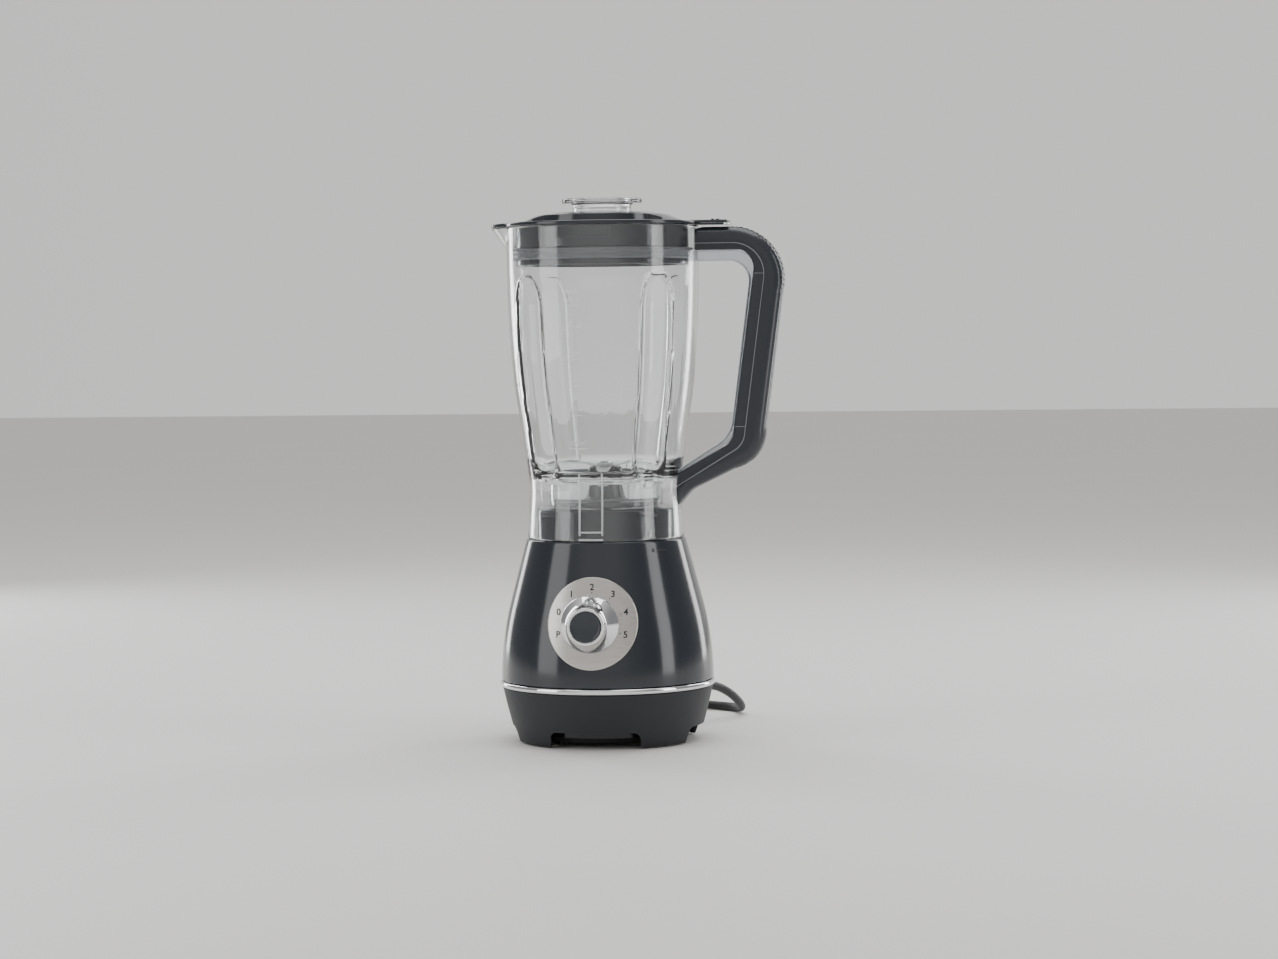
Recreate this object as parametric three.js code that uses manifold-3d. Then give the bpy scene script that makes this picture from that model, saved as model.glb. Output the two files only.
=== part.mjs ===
// Countertop blender: motor base with a speed dial, clear jug with its blade unit, lid and measuring cap.
// Millimetres, +Z up. While it is built, the jug's axis is X = 0, Y = 0 and the table is Z = 0. The dial
// faces -Y and the handle points to +X. The last lines move the origin to the middle of the footprint.
import * as THREE from "three";
import { mergeVertices } from "three/addons/utils/BufferGeometryUtils.js";
import Module from "manifold-3d";

const wasm = await Module();
wasm.setup();

// ---------------------------------------------------------------- driving dimensions
const GAP = 0.3; // air between two pieces that touch
const WALL = 2.5; // thickness of the plastic shells
const FINE = 36; // facets round the large turned pieces
const COARSE = 12; // facets round the small ones

const FOOT = { radius: 8.5, height: 2.2, circle: 57.2 };
const LOWER = { low: 1, high: 42, radiusLow: 69.3, radiusHigh: 80.2, bulge: 0.5, notchHigh: 12.8 };
const NOTCH = { frontHalf: 34, sideHalf: 29.6, corner: 5 };
const TRIM = { low: 42.3, high: 46.5, radius: 81.9, inner: 77.6 };
const UPPER = { low: 46.8, radius: 80.8, curve: 231, straightFrom: 106, deck: 154.2, deckRadius: 60.4 };
const PEDESTAL = { radius: 52, high: 177, wall: 3, wellRadius: 24, wellFloor: 163 };
const DIAL = { height: 95, radius: 34, proud: 1.6, sunk: 0.4 };
const KNOB = { back: 81.6, skirt: 21.75, nose: 13.9, depth: 21.4, discRadius: 11.5, spindle: 3 };
const CORD_EXIT = { angle: 30, height: 30, neck: 5.2, reliefLength: 36, start: 79.8 };

const MOTOR = { shaft: 4, rotor: 20, bore: 21, stackLow: 78, stackHigh: 112 };
const LEGS = { circle: 40, radius: 5, screw: 1.6 };
const INTERLOCK = { place: [-38.4, 38.4], radius: 1.5, low: 143.5, high: 156.2 };

const JUG = { low: 154.5, rim: 389.9, wall: 3, floor: 209, wellRadius: 41, wellLow: 178.6 };
const SPOUT = { centre: -60, low: 372, radiusLow: 12.6, radiusHigh: 25.3 };
const FLUTE = { angle: 44, halfWidth: 15, depth: 9, low: 197, high: 354, arch: 26, heel: 14 };
const HANDLE = { width: 26, inset: 1, seamLow: 238, seamHigh: 353, strip: 1.6 };
const BLADE = { thick: 1.2, width: 12, seat: 199.2 };
const LID = { under: 390.2, flange: 74.4, skirt: 65.5, skirtLow: 360.6, domeTop: 400.7, hole: 22.6 };
const SEAL = { low: 364.9, high: 373.5, inner: 64.1, outer: 69.6 };
const CAP = { flange: 30.4, top: 411, flangeLow: 407.6, radius: 22.2, low: 366, wall: 2, ledge: 24.1 };

const CORD = { radius: 3.4, ringX: 0, ringY: 150, turnInner: 34, turnOuter: 41, low: 1.3, high: 15 };
const PLUG = { x: -49, y: 111, heading: 254, length: 38, width: 35.3, height: 26, pin: 2.4, pinLength: 19 };

// ---------------------------------------------------------------- finishes
const GLOSS_GREY = { color: 0x46494e, roughness: 0.16, metalness: 0 };
const MATTE_GREY = { color: 0x2a2e32, roughness: 0.62, metalness: 0 };
const SATIN_GREY = { color: 0x32363c, roughness: 0.38, metalness: 0 };
const BLACK_PLASTIC = { color: 0x101113, roughness: 0.3, metalness: 0 };
const CLEAR = { color: 0xe9eef0, roughness: 0.05, metalness: 0, transparent: true, opacity: 0.35 };
const CHROME = { color: 0xd9dbdd, roughness: 0.08, metalness: 1 };
const DIAL_SILVER = { color: 0xb5aea6, roughness: 0.34, metalness: 1 };
const STEEL = { color: 0x9c9da0, roughness: 0.35, metalness: 1 };
const BRASS = { color: 0xb08d4a, roughness: 0.35, metalness: 1 };
const COPPER = { color: 0xa4592e, roughness: 0.4, metalness: 1 };
const CARBON = { color: 0x1b1b1d, roughness: 0.7, metalness: 0 };
const RUBBER = { color: 0x141416, roughness: 0.75, metalness: 0 };
const PALE_RUBBER = { color: 0xb9b6ae, roughness: 0.8, metalness: 0 };
const SILICONE = { color: 0x8f9499, roughness: 0.55, metalness: 0 };
const BOARD_GREEN = { color: 0x2f6b43, roughness: 0.5, metalness: 0 };

// ---------------------------------------------------------------- tools
const degrees = THREE.MathUtils.degToRad;

/** A closed three.js geometry as a solid that can be joined and cut. */
function toSolid(geometry) {
  geometry.deleteAttribute("normal");
  geometry.deleteAttribute("uv");
  const merged = mergeVertices(geometry, 1e-4);
  const vertProperties = merged.attributes.position.array;
  const triVerts = new Uint32Array(merged.index.array);
  return new wasm.Manifold(new wasm.Mesh({ numProp: 3, vertProperties, triVerts }));
}

/** A solid back as a geometry for a mesh. */
function toGeometry(solid) {
  const { numProp, vertProperties, triVerts } = solid.getMesh();
  const geometry = new THREE.BufferGeometry();
  const places = new Float32Array((vertProperties.length / numProp) * 3);
  for (let i = 0; i < places.length / 3; i += 1) {
    places.set(vertProperties.subarray(i * numProp, i * numProp + 3), i * 3);
  }
  geometry.setAttribute("position", new THREE.BufferAttribute(places, 3));
  geometry.setIndex(new THREE.BufferAttribute(new Uint32Array(triVerts), 1));
  geometry.computeVertexNormals();
  return geometry;
}

/** A profile of [radius, height] points turned about Z. It starts and ends on the axis. */
function turned(profile, facets = FINE) {
  const points = profile.map(([radius, height]) => new THREE.Vector2(radius, height));
  return toSolid(new THREE.LatheGeometry(points, facets).rotateX(Math.PI / 2));
}

/** A profile of [radius, height] points clear of the axis, closed on itself and turned about Z. */
function turnedRing(profile, facets = FINE) {
  return turned([...profile, profile[0]], facets);
}

/** A plain upright cylinder. */
function rod(radius, low, high, facets = COARSE) {
  return turned([[0, low], [radius, low], [radius, high], [0, high]], facets);
}

/** A plain upright pipe. */
function pipe(inner, outer, low, high, facets = COARSE) {
  return turnedRing([[inner, low], [outer, low], [outer, high], [inner, high]], facets);
}

/** A box between two corners. */
function block([x0, y0, z0], [x1, y1, z1]) {
  const box = toSolid(new THREE.BoxGeometry(x1 - x0, y1 - y0, z1 - z0));
  return box.translate([(x0 + x1) / 2, (y0 + y1) / 2, (z0 + z1) / 2]);
}

/** A plan outline raised from one height to another. */
function prism(outline, low, high) {
  const shape = new THREE.Shape(outline);
  const depth = high - low;
  return toSolid(new THREE.ExtrudeGeometry(shape, { depth, bevelEnabled: false })).translate([0, 0, low]);
}

/** An outline drawn in X and Z, given a width along Y, with its long edges eased by a bevel. */
function sidePiece(outline, width, ease = 0) {
  const shape = new THREE.Shape(outline);
  const bevel = { bevelEnabled: ease > 0, bevelThickness: ease, bevelSize: ease, bevelOffset: -ease };
  const settings = { depth: width - 2 * ease, bevelSegments: 1, ...bevel };
  const geometry = new THREE.ExtrudeGeometry(shape, settings).translate(0, 0, ease - width / 2);
  return toSolid(geometry.rotateX(Math.PI / 2));
}

/** Corners given as [x, y, radius], with each corner rounded to its radius. */
function rounded(corners, steps = 3) {
  const points = [];
  corners.forEach(([x, y, radius = 0], index) => {
    const corner = new THREE.Vector2(x, y);
    const before = corners[index - 1];
    const after = corners[index + 1];
    if (radius === 0 || !before || !after) {
      points.push(corner);
      return;
    }
    const back = new THREE.Vector2(before[0] - x, before[1] - y).normalize();
    const ahead = new THREE.Vector2(after[0] - x, after[1] - y).normalize();
    const half = Math.acos(back.dot(ahead)) / 2;
    const reach = radius / Math.tan(half);
    const centre = back.clone().add(ahead).normalize().multiplyScalar(radius / Math.sin(half)).add(corner);
    const start = back.multiplyScalar(reach).add(corner).sub(centre);
    const end = ahead.multiplyScalar(reach).add(corner).sub(centre);
    const turn = Math.atan2(start.cross(end), start.dot(end));
    for (let step = 0; step <= steps; step += 1) {
      points.push(start.clone().rotateAround(new THREE.Vector2(), (turn * step) / steps).add(centre));
    }
  });
  return points;
}

/** The four corners of a rectangle, rounded, as a closed outline. */
function roundedRectangle(halfX, halfY, radius) {
  const corners = [[halfX, -halfY, radius], [halfX, halfY, radius], [-halfX, halfY, radius]];
  return rounded([[0, -halfY], ...corners, [-halfX, -halfY, radius], [0, -halfY]]).slice(1);
}

/** Two solids or more joined into one. */
function join(first, ...others) {
  return others.reduce((sum, other) => sum.add(other), first);
}

/** The first solid with all the others cut away. */
function cut(first, ...others) {
  return others.reduce((rest, other) => rest.subtract(other), first);
}

/** A named mesh made from a solid. */
function part(name, solid, finish) {
  const mesh = new THREE.Mesh(toGeometry(solid), new THREE.MeshStandardMaterial(finish));
  mesh.name = name;
  return mesh;
}

// ---------------------------------------------------------------- motor base
/** Outer radius of the lower housing at a height. */
function lowerRadius(height) {
  const t = height / LOWER.high;
  const swell = 4 * LOWER.bulge * t * (1 - t);
  return LOWER.radiusLow + (LOWER.radiusHigh - LOWER.radiusLow) * t + swell;
}

/** Outer radius of the upper housing at a height: an arc below, a straight cone above. */
function upperRadius(height) {
  if (height <= UPPER.straightFrom) {
    const rise = height - UPPER.low;
    return UPPER.radius - (UPPER.curve - Math.sqrt(UPPER.curve ** 2 - rise ** 2));
  }
  const start = upperRadius(UPPER.straightFrom);
  const t = (height - UPPER.straightFrom) / (UPPER.deck - UPPER.straightFrom);
  return start + (UPPER.deckRadius - start) * t;
}

/** Points up the side of the upper housing, moved out by an offset. */
function upperSide(offset, high) {
  const arcSteps = 4;
  const points = [];
  for (let step = 0; step <= arcSteps; step += 1) {
    const height = UPPER.low + ((UPPER.straightFrom - UPPER.low) * step) / arcSteps;
    points.push([upperRadius(height) + offset, height]);
  }
  points.push([upperRadius(high) + offset, high]);
  return points;
}

/** The space inside the upper housing's outer face, as a solid, moved out by an offset. */
function upperBulk(offset) {
  return turned([[0, UPPER.low], ...upperSide(offset, UPPER.deck - 1), [0, UPPER.deck - 1]]);
}

/** A cylinder lying along -Y at the dial's height. */
function dialBore(radius, facets = 32) {
  return rod(radius, 0, 120, facets).rotate([90, 0, 0]).translate([0, 0, DIAL.height]);
}

function lowerHousing() {
  const heights = [LOWER.low, 14, 28, LOWER.high];
  const outside = heights.map((height) => [lowerRadius(height), height]);
  const inside = heights.map((height) => [lowerRadius(height) - WALL, height]).reverse();
  const arch = (half) => rounded([
    [half, -2], [half, LOWER.notchHigh, NOTCH.corner], [-half, LOWER.notchHigh, NOTCH.corner], [-half, -2],
  ], 3);
  const frontNotches = sidePiece(arch(NOTCH.frontHalf), 200);
  const sideNotches = sidePiece(arch(NOTCH.sideHalf), 200).rotate([0, 0, 90]);
  const cordHole = rod(CORD_EXIT.neck + 0.4, 60, 95).rotate([-90, 0, -CORD_EXIT.angle]);
  return cut(
    turnedRing([...outside, ...inside]),
    frontNotches,
    sideNotches,
    cordHole.translate([0, 0, CORD_EXIT.height]),
  );
}

function bottomCover() {
  const floor = 4;
  const pan = turned([
    [0, floor], [58.5, floor], [62.5, 8], [62.5, 13.2], [70, 13.2], [70, 15.7],
    [60, 15.7], [60, 9], [57.5, floor + WALL], [0, floor + WALL],
  ], 32);
  const feet = quarterTurns(FOOT.circle, 45).map(([x, y]) => cut(
    rod(9.4, LOWER.low, 13.6, COARSE),
    rod(FOOT.radius + 0.25, 0, FOOT.height + GAP, COARSE),
  ).translate([x, y, 0]));
  const screwHoles = quarterTurns(LEGS.circle, 45).map(([x, y]) => rod(2, 0, 9, 8).translate([x, y, 0]));
  const slots = [];
  for (let index = -2; index <= 2; index += 1) {
    const half = 24 - 2.4 * Math.abs(index);
    slots.push(block([index * 7 - 1.5, -half, 0], [index * 7 + 1.5, half, 9]));
  }
  return cut(join(pan, ...feet), ...screwHoles, ...slots);
}

/** Four places a quarter turn apart on a circle. */
function quarterTurns(radius, start) {
  return [0, 1, 2, 3].map((quarter) => {
    const angle = degrees(start + 90 * quarter);
    return [radius * Math.cos(angle), radius * Math.sin(angle)];
  });
}

function upperHousing() {
  const inner = PEDESTAL.radius - PEDESTAL.wall;
  const deckUnder = UPPER.deck - 3;
  const shell = turnedRing([
    ...upperSide(0, UPPER.deck - 1), [UPPER.deckRadius - 1, UPPER.deck], [PEDESTAL.radius, UPPER.deck],
    [PEDESTAL.radius, PEDESTAL.high - 1], [PEDESTAL.radius - 1, PEDESTAL.high],
    [PEDESTAL.wellRadius, PEDESTAL.high], [PEDESTAL.wellRadius, PEDESTAL.wellFloor],
    [7, PEDESTAL.wellFloor], [7, PEDESTAL.wellFloor - WALL],
    [PEDESTAL.wellRadius + WALL, PEDESTAL.wellFloor - WALL],
    [PEDESTAL.wellRadius + WALL, PEDESTAL.high - 3], [inner, PEDESTAL.high - 3], [inner, deckUnder],
    ...upperSide(-3, deckUnder).reverse(),
  ]);
  const dialSeat = dialBore(DIAL.radius + GAP).subtract(upperBulk(-DIAL.sunk - GAP));
  const pinBore = rod(INTERLOCK.radius + 0.4, UPPER.deck - 5, UPPER.deck + 5);
  const pinHole = pinBore.translate([...INTERLOCK.place, 0]);
  return cut(shell, dialSeat, dialBore(5.5, COARSE), pinHole);
}

function dialPlate() {
  const plate = dialBore(DIAL.radius).intersect(upperBulk(DIAL.proud));
  return cut(plate, upperBulk(-DIAL.sunk), dialBore(5.5, COARSE));
}

function trimRing() {
  const { low, high, radius, inner } = TRIM;
  return turnedRing([
    [inner, low], [radius - 0.8, low], [radius, low + 1], [radius, high - 1], [radius - 0.8, high],
    [inner, high],
  ]);
}

/** Knob parts are turned about their own axis, with height measured outwards from the knob's back. */
function knobParts() {
  const { skirt, nose, depth, discRadius, spindle } = KNOB;
  const flank = [0.3, 0.65, 1].map((t) => {
    const swept = (1 - t) ** 1.7;
    return [nose + (skirt - nose) * swept, 3.5 + (depth - 5.5) * t];
  });
  const body = turned([
    [0, 13], [spindle + GAP, 13], [spindle + GAP, 3], [6.5, 3], [6.5, 14.5], [10, 14.5], [17, 3.5], [19.5, 0],
    [skirt - 0.8, 0], [skirt, 0.9], [skirt, 3.2], ...flank, [nose, depth - 0.8], [nose - 0.7, depth],
    [discRadius + GAP, depth], [discRadius + GAP, depth - 2], [0, depth - 2],
  ], 24);
  const disc = turned([
    [0, depth - 2 + GAP], [discRadius, depth - 2 + GAP], [discRadius, depth - 0.6],
    [discRadius - 0.5, depth - 0.2], [0, depth - 0.2],
  ], 24);
  const stem = rod(spindle, 46 - KNOB.back, 12.7, 16);
  return [
    part("speed_knob", body, CHROME),
    part("knob_cap", disc, SATIN_GREY),
    part("switch_spindle", stem, STEEL),
  ];
}

function interlockPin() {
  const { place, radius, low, high } = INTERLOCK;
  return rod(radius, low, high).translate([...place, 0]);
}

function rotarySwitch() {
  return cut(block([-16, -62, 79], [16, -44, 111]), dialBore(KNOB.spindle + GAP, 16));
}

function microSwitch() {
  return block([-7, -3.5, 128], [7, 3.5, 143.1]).rotate([0, 0, 45]).translate([...INTERLOCK.place, 0]);
}

// ---------------------------------------------------------------- motor
function statorCore() {
  const { stackLow, stackHigh, bore } = MOTOR;
  const window = (side) => block([side * 26 - 4.5, -20.8, 0], [side * 26 + 4.5, 20.8, 200]);
  const stack = prism(roundedRectangle(38, 33, 6), stackLow, stackHigh);
  return cut(stack, rod(bore, 0, 200, 20), window(-1), window(1));
}

/** A field coil: a flat loop that goes up one window, over the stack and down the other. */
function statorCoil(side) {
  const { stackLow, stackHigh } = MOTOR;
  const middle = (stackLow + stackHigh) / 2;
  const half = (stackHigh - stackLow) / 2;
  const outer = sidePiece(roundedRectangle(30, half + 8, 5), 8);
  const inner = sidePiece(roundedRectangle(22.4, half + 0.6, 2), 20);
  return outer.subtract(inner).translate([0, side * 15.6, middle]);
}

function lowerBracket() {
  const legs = quarterTurns(LEGS.circle, 45)
    .map(([x, y]) => rod(LEGS.radius, 6.8, 67, 16).translate([x, y, 0]));
  const bores = quarterTurns(LEGS.circle, 45).map(([x, y]) => rod(2, 0, 22, 12).translate([x, y, 0]));
  const plate = prism(roundedRectangle(35, 35, 6), 66, 69);
  return cut(join(plate, rod(11, 66, 72), ...legs), rod(8.3, 0, 90), ...bores);
}

function upperBracket() {
  const bar = prism(roundedRectangle(57, 14, 6), 134.6, 138);
  return cut(join(bar, rod(12, 136, 145)), rod(8.3, 0, 200));
}

function brushHolder(side) {
  const tube = block([14, -6, 120], [34, 6, 132]).subtract(block([0, -3.6, 122.4], [50, 3.6, 129.6]));
  return tube.rotate([0, 0, side > 0 ? 0 : 180]);
}

function carbonBrush(side) {
  return block([11.6, -3.2, 122.8], [28, 3.2, 129.2]).rotate([0, 0, side > 0 ? 0 : 180]);
}

function coolingFan() {
  const blades = [];
  for (let index = 0; index < 9; index += 1) {
    blades.push(block([8, -0.8, 55], [31, 0.8, 64]).rotate([0, 0, index * 40]));
  }
  return join(rod(32, 54, 56, 20), rod(9, 54, 64), ...blades).subtract(rod(MOTOR.shaft + GAP, 0, 100, 16));
}

function rotorCore() {
  const { stackLow, stackHigh, rotor } = MOTOR;
  const winding = 11;
  return turnedRing([
    [MOTOR.shaft + GAP, stackLow - 5], [winding, stackLow - 5], [winding, stackLow], [rotor, stackLow + 1],
    [rotor, stackHigh - 1], [winding, stackHigh], [winding, stackHigh + 3],
    [MOTOR.shaft + GAP, stackHigh + 3],
  ], 20);
}

/** A round-toothed star outline. */
function star(teeth, root, tip) {
  const points = [];
  const steps = teeth * 4;
  for (let step = 0; step < steps; step += 1) {
    const angle = (2 * Math.PI * step) / steps;
    const radius = (root + tip) / 2 + ((tip - root) / 2) * Math.cos(teeth * angle);
    points.push(new THREE.Vector2(radius * Math.cos(angle), radius * Math.sin(angle)));
  }
  return points;
}

function driveCoupling() {
  const socket = prism(star(6, 9.3, 12.8), 168, 180);
  return cut(rod(17, 163.8, 175.6, 20), socket, rod(MOTOR.shaft + GAP, 160, 166.8, 16));
}

// ---------------------------------------------------------------- blade unit
function bladeHolder() {
  return turnedRing([
    [7.3, 179], [40.5, 179], [40.5, 181.6], [33, 183], [15, 185.5], [12, 198.5], [7.3, 198.5],
  ], 28);
}

/** A pair of blade arms: a bent strip trimmed to a tapered plan. */
function bladePair(seat, rise, reach, turn) {
  const { thick, width } = BLADE;
  const flat = 9;
  const strip = sidePiece([
    new THREE.Vector2(-reach, seat + rise), new THREE.Vector2(-flat, seat), new THREE.Vector2(flat, seat),
    new THREE.Vector2(reach, seat + rise), new THREE.Vector2(reach, seat + rise + thick * 1.2),
    new THREE.Vector2(flat, seat + thick), new THREE.Vector2(-flat, seat + thick),
    new THREE.Vector2(-reach, seat + rise + thick * 1.2),
  ], width);
  const half = width / 2;
  const plan = prism([
    new THREE.Vector2(-reach, -half), new THREE.Vector2(flat, -half), new THREE.Vector2(reach, half - 3),
    new THREE.Vector2(reach, half), new THREE.Vector2(-flat, half), new THREE.Vector2(-reach, 3 - half),
  ], 150, 250);
  return strip.intersect(plan).subtract(rod(MOTOR.shaft + GAP, 150, 250, 16)).rotate([0, 0, turn]);
}

function bladeNut() {
  return cut(
    turned([[0, 202.2], [7, 202.2], [7, 206], [5.5, 208.4], [2.5, 209.6], [0, 209.8]], 6),
    rod(MOTOR.shaft + GAP, 200, 206.5, 12),
  );
}

// ---------------------------------------------------------------- jug
/** Outer radius of the jug wall at a height, from a smooth line through its waist and its rim. */
const jugLine = new THREE.SplineCurve([
  [59.7, JUG.low], [58.4, 176], [57.5, 191], [58.7, 205], [63.2, 238], [68.4, 273],
  [71.6, 315], [72.9, 355], [73.2, JUG.rim],
].map(([radius, height]) => new THREE.Vector2(radius, height)));

/** Points up the jug wall between two heights, moved out by an offset. */
function jugSide(offset, low, high, steps) {
  const line = jugLine.getPoints(120);
  const radiusAt = (height) => {
    const above = Math.max(1, line.findIndex((point) => point.y >= height - 1e-6));
    const [a, b] = [line[above - 1], line[above]];
    return a.x + ((b.x - a.x) * (height - a.y)) / (b.y - a.y);
  };
  return Array.from({ length: steps + 1 }, (_, step) => {
    const height = low + ((high - low) * step) / steps;
    return [radiusAt(height) + offset, height];
  });
}

/** The cutter for one flute: a long round bar that leans with the wall and ends in a pointed arch. */
function fluteCutter(offset) {
  const { halfWidth, depth, low, high, arch, heel, angle } = FLUTE;
  const bar = (halfWidth ** 2 + depth ** 2) / (2 * depth);
  const stand = bar - depth;
  const girth = (width) => Math.hypot(width, stand) + offset;
  const length = high - low;
  const profile = [[0, -1], [stand + offset, -1]];
  for (const t of [0, 0.5, 1]) {
    profile.push([girth(halfWidth * Math.sin((t * Math.PI) / 2)), heel * t]);
  }
  for (const t of [1, 0.6, 0.25, 0]) {
    profile.push([girth(halfWidth * t * (2 - t)), length - arch * t]);
  }
  profile.push([0, length]);
  const [[radiusLow], [radiusHigh]] = jugSide(stand, low, high, 1);
  const lean = THREE.MathUtils.radToDeg(Math.atan2(radiusHigh - radiusLow, length));
  const cutter = turned(profile, 14).rotate([0, lean, 0]).translate([radiusLow, 0, low]);
  return [angle, 180 - angle, 180 + angle, -angle].map((side) => cutter.rotate([0, 0, side - 90]));
}

function spoutCone(offset) {
  const { centre, low, radiusLow, radiusHigh } = SPOUT;
  const high = JUG.rim;
  const cone = turned([
    [0, low], [radiusLow + offset, low], [radiusHigh + offset, high],
    [radiusHigh + offset, high + 2], [0, high + 2],
  ], 28);
  return cone.translate([centre, 0, 0]);
}

/** The jug's outer bulk with its spout. */
function jugBulk(offset) {
  const side = jugSide(offset, JUG.low, JUG.rim, 10);
  return turned([[0, JUG.low], ...side, [0, JUG.rim]]);
}

function jug() {
  const { low, rim, wall, floor, wellRadius, wellLow } = JUG;
  const inner = jugSide(-wall, floor + 4, rim, 7);
  const bowl = turned([
    [0, low - 2], [wellRadius, low - 2], [wellRadius, 199], [inner[0][0] - 5, floor - 1], ...inner,
    [inner.at(-1)[0], rim + 4], [0, rim + 4],
  ]);
  const skirt = jugSide(-wall, low, 194, 2);
  const skirtSpace = turnedRing([
    [wellRadius + wall, low - 2], [skirt[0][0], low - 2], ...skirt.slice(1), [wellRadius + wall + 4, 201],
    [wellRadius + wall, 196],
  ]);
  const belowWell = rod(wellRadius + wall + 1, low - 2, wellLow, 32);
  const hollowBowl = cut(bowl, ...fluteCutter(wall)).add(spoutCone(-wall));
  const hollowSkirt = cut(skirtSpace, ...fluteCutter(wall));
  const shell = cut(jugBulk(0).add(spoutCone(0).intersect(rod(150, 300, rim, 8))), ...fluteCutter(0));
  const camTab = block([52.9, -5, 160], [57.2, 5, 164]).rotate([0, 0, 135]);
  return join(cut(shell, hollowBowl, hollowSkirt, belowWell), camTab);
}

// ---------------------------------------------------------------- handle
// Corner lists run from the upper arm, down the grip, to the foot of the lower arm: [x, z, radius].
const HANDLE_OUTER = [[70, 388.7], [144, 388.7, 39.6], [120.5, 215.3, 29], [68, 190, 18], [55, 174.5]];
const STEP_LINE = [[70, 376], [127.4, 376, 23.5], [107.1, 223.7, 16], [50, 194]];
const GRIP_INNER = [[70, 371], [118.5, 371, 14], [98.8, 226.2, 14], [50, 203.7]];
const HANDLE_INNER = [[70, 362.5], [114.5, 362.5, 14.9], [97.3, 229, 26.2], [50, 206.5]];

/** The closed outline of the band between two corner lists. */
function band(outer, inner) {
  return [...rounded(outer, 6), ...rounded(inner, 6).reverse()];
}

/** Moves a corner list outwards, to leave a gap beside a neighbour: up above, down below, out at the grip. */
function shifted(corners, out) {
  return corners.map(([x, z, radius = 0], index) => [x + out, z + (index < 2 ? out : -1.3 * out), radius]);
}

function handleParts() {
  const { width, inset, seamLow, seamHigh, strip } = HANDLE;
  const clearOfJug = jugBulk(GAP).add(rod(JUG.wellRadius, 100, 400, 12));
  const seams = (gap) => block([60, -20, seamLow - gap], [130, 20, seamHigh + gap]);
  const frame = sidePiece(band(shifted(GRIP_INNER, -0.25), HANDLE_INNER), width);
  const outerGrip = sidePiece(band(HANDLE_OUTER, STEP_LINE), width, 2);
  const innerGrip = sidePiece(band(shifted(STEP_LINE, 0.6), shifted(GRIP_INNER, 0.15)), width - 2 * inset);
  const inlay = sidePiece(band(shifted(STEP_LINE, -GAP), shifted(GRIP_INNER, 0.15)), width - 2 * inset);
  const filled = (depth, y) => sidePiece(
    rounded([...HANDLE_OUTER, [55, 388.7]].map(([x, z, radius]) => [x - depth, z, radius]), 6), y);
  const straight = (spare) => block([112, -12, 240 - spare], [155, 12, 352 + spare]);
  const stripBody = filled(0, 18).intersect(straight(0)).subtract(filled(strip, 30));
  const seatWidth = block([0, -9.3, 0], [200, 9.3, 400]);
  const stripSeat = straight(GAP).intersect(seatWidth).subtract(filled(strip + GAP, 30));
  const grip = join(outerGrip, cut(innerGrip, seams(GAP)));
  return [
    part("handle_frame", cut(frame, clearOfJug), CLEAR),
    part("handle_grip", cut(grip, clearOfJug, stripSeat), SATIN_GREY),
    part("grip_inlay", inlay.intersect(seams(0)), SATIN_GREY),
    part("handle_strip", stripBody, CLEAR),
  ];
}

// ---------------------------------------------------------------- lid and cap
function lid() {
  const { under, flange, skirt, skirtLow, domeTop, hole } = LID;
  const dome = [0, 0.5, 1].map((t) => [61 - 26 * t, 393.4 + 7 * Math.sin((t * Math.PI) / 2)]);
  const domeUnder = dome.map(([radius, height]) => [radius - 1, height - WALL]).reverse();
  const cover = turnedRing([
    [skirt - 2.8, skirtLow], [skirt - 0.8, skirtLow], [skirt, skirtLow + 1], [skirt, SEAL.low - GAP],
    [SEAL.inner - GAP, SEAL.low - GAP], [SEAL.inner - GAP, SEAL.high + GAP], [skirt, SEAL.high + GAP],
    [skirt, under], [flange - 0.6, under], [flange, under + 0.8], [flange, under + 2],
    [flange - 0.8, under + 2.8],
    ...dome, [33, domeTop], [CAP.ledge + GAP, domeTop], [CAP.ledge + GAP, 396.7], [hole, 396.7], [hole, 386],
    [hole + 4.2, 386], [hole + 4.2, 397.6], ...domeUnder, [skirt - 2.8, under - 1],
  ]);
  const spoutRoof = rod(25.4, under, under + 2.8, 28).translate([SPOUT.centre, 0, 0]);
  const tab = join(
    block([70, -12, under + 1.6], [96.5, 12, under + 3.4]),
    block([70, -10.5, under], [94, 10.5, under + 1.8]),
  );
  const frontBlock = block([-21, -75, 381], [21, -60, under + 0.5]).rotate([0, 0, -4])
    .intersect(rod(69.2, 300, 420, FINE));
  const extras = join(spoutRoof, tab, frontBlock).subtract(rod(skirt - 1, 300, 420));
  return join(cover, extras);
}

/** A lip seal with three soft ribs. */
function lidSeal() {
  const { low, high, inner, outer } = SEAL;
  const ribs = [];
  for (const t of [0.08, 0.45, 0.82]) {
    const height = low + (high - low) * t;
    ribs.push([outer - 2.4, height - 0.6], [outer, height + 0.4], [outer - 2.4, height + 1.2]);
  }
  return turnedRing([[inner, low], ...ribs, [inner, high]]);
}

function measuringCap() {
  const { flange, top, flangeLow, radius, low, wall, ledge } = CAP;
  return turned([
    [0, flangeLow - 2.2], [radius - wall, flangeLow - 2.2], [radius - wall, low], [radius, low],
    [radius, 397],
    [ledge, 397], [ledge, 400.8], [radius, 400.8], [radius, flangeLow - 2.4], [radius + 2, flangeLow],
    [flange - 0.8, flangeLow], [flange, flangeLow + 1], [flange, top - 0.8], [flange - 0.8, top],
    [radius + 1, top], [radius - 1, top - 1.6], [0, top - 1.6],
  ], 24);
}

// ---------------------------------------------------------------- power cord
const RELIEF_END = CORD_EXIT.start + CORD_EXIT.reliefLength;

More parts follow.
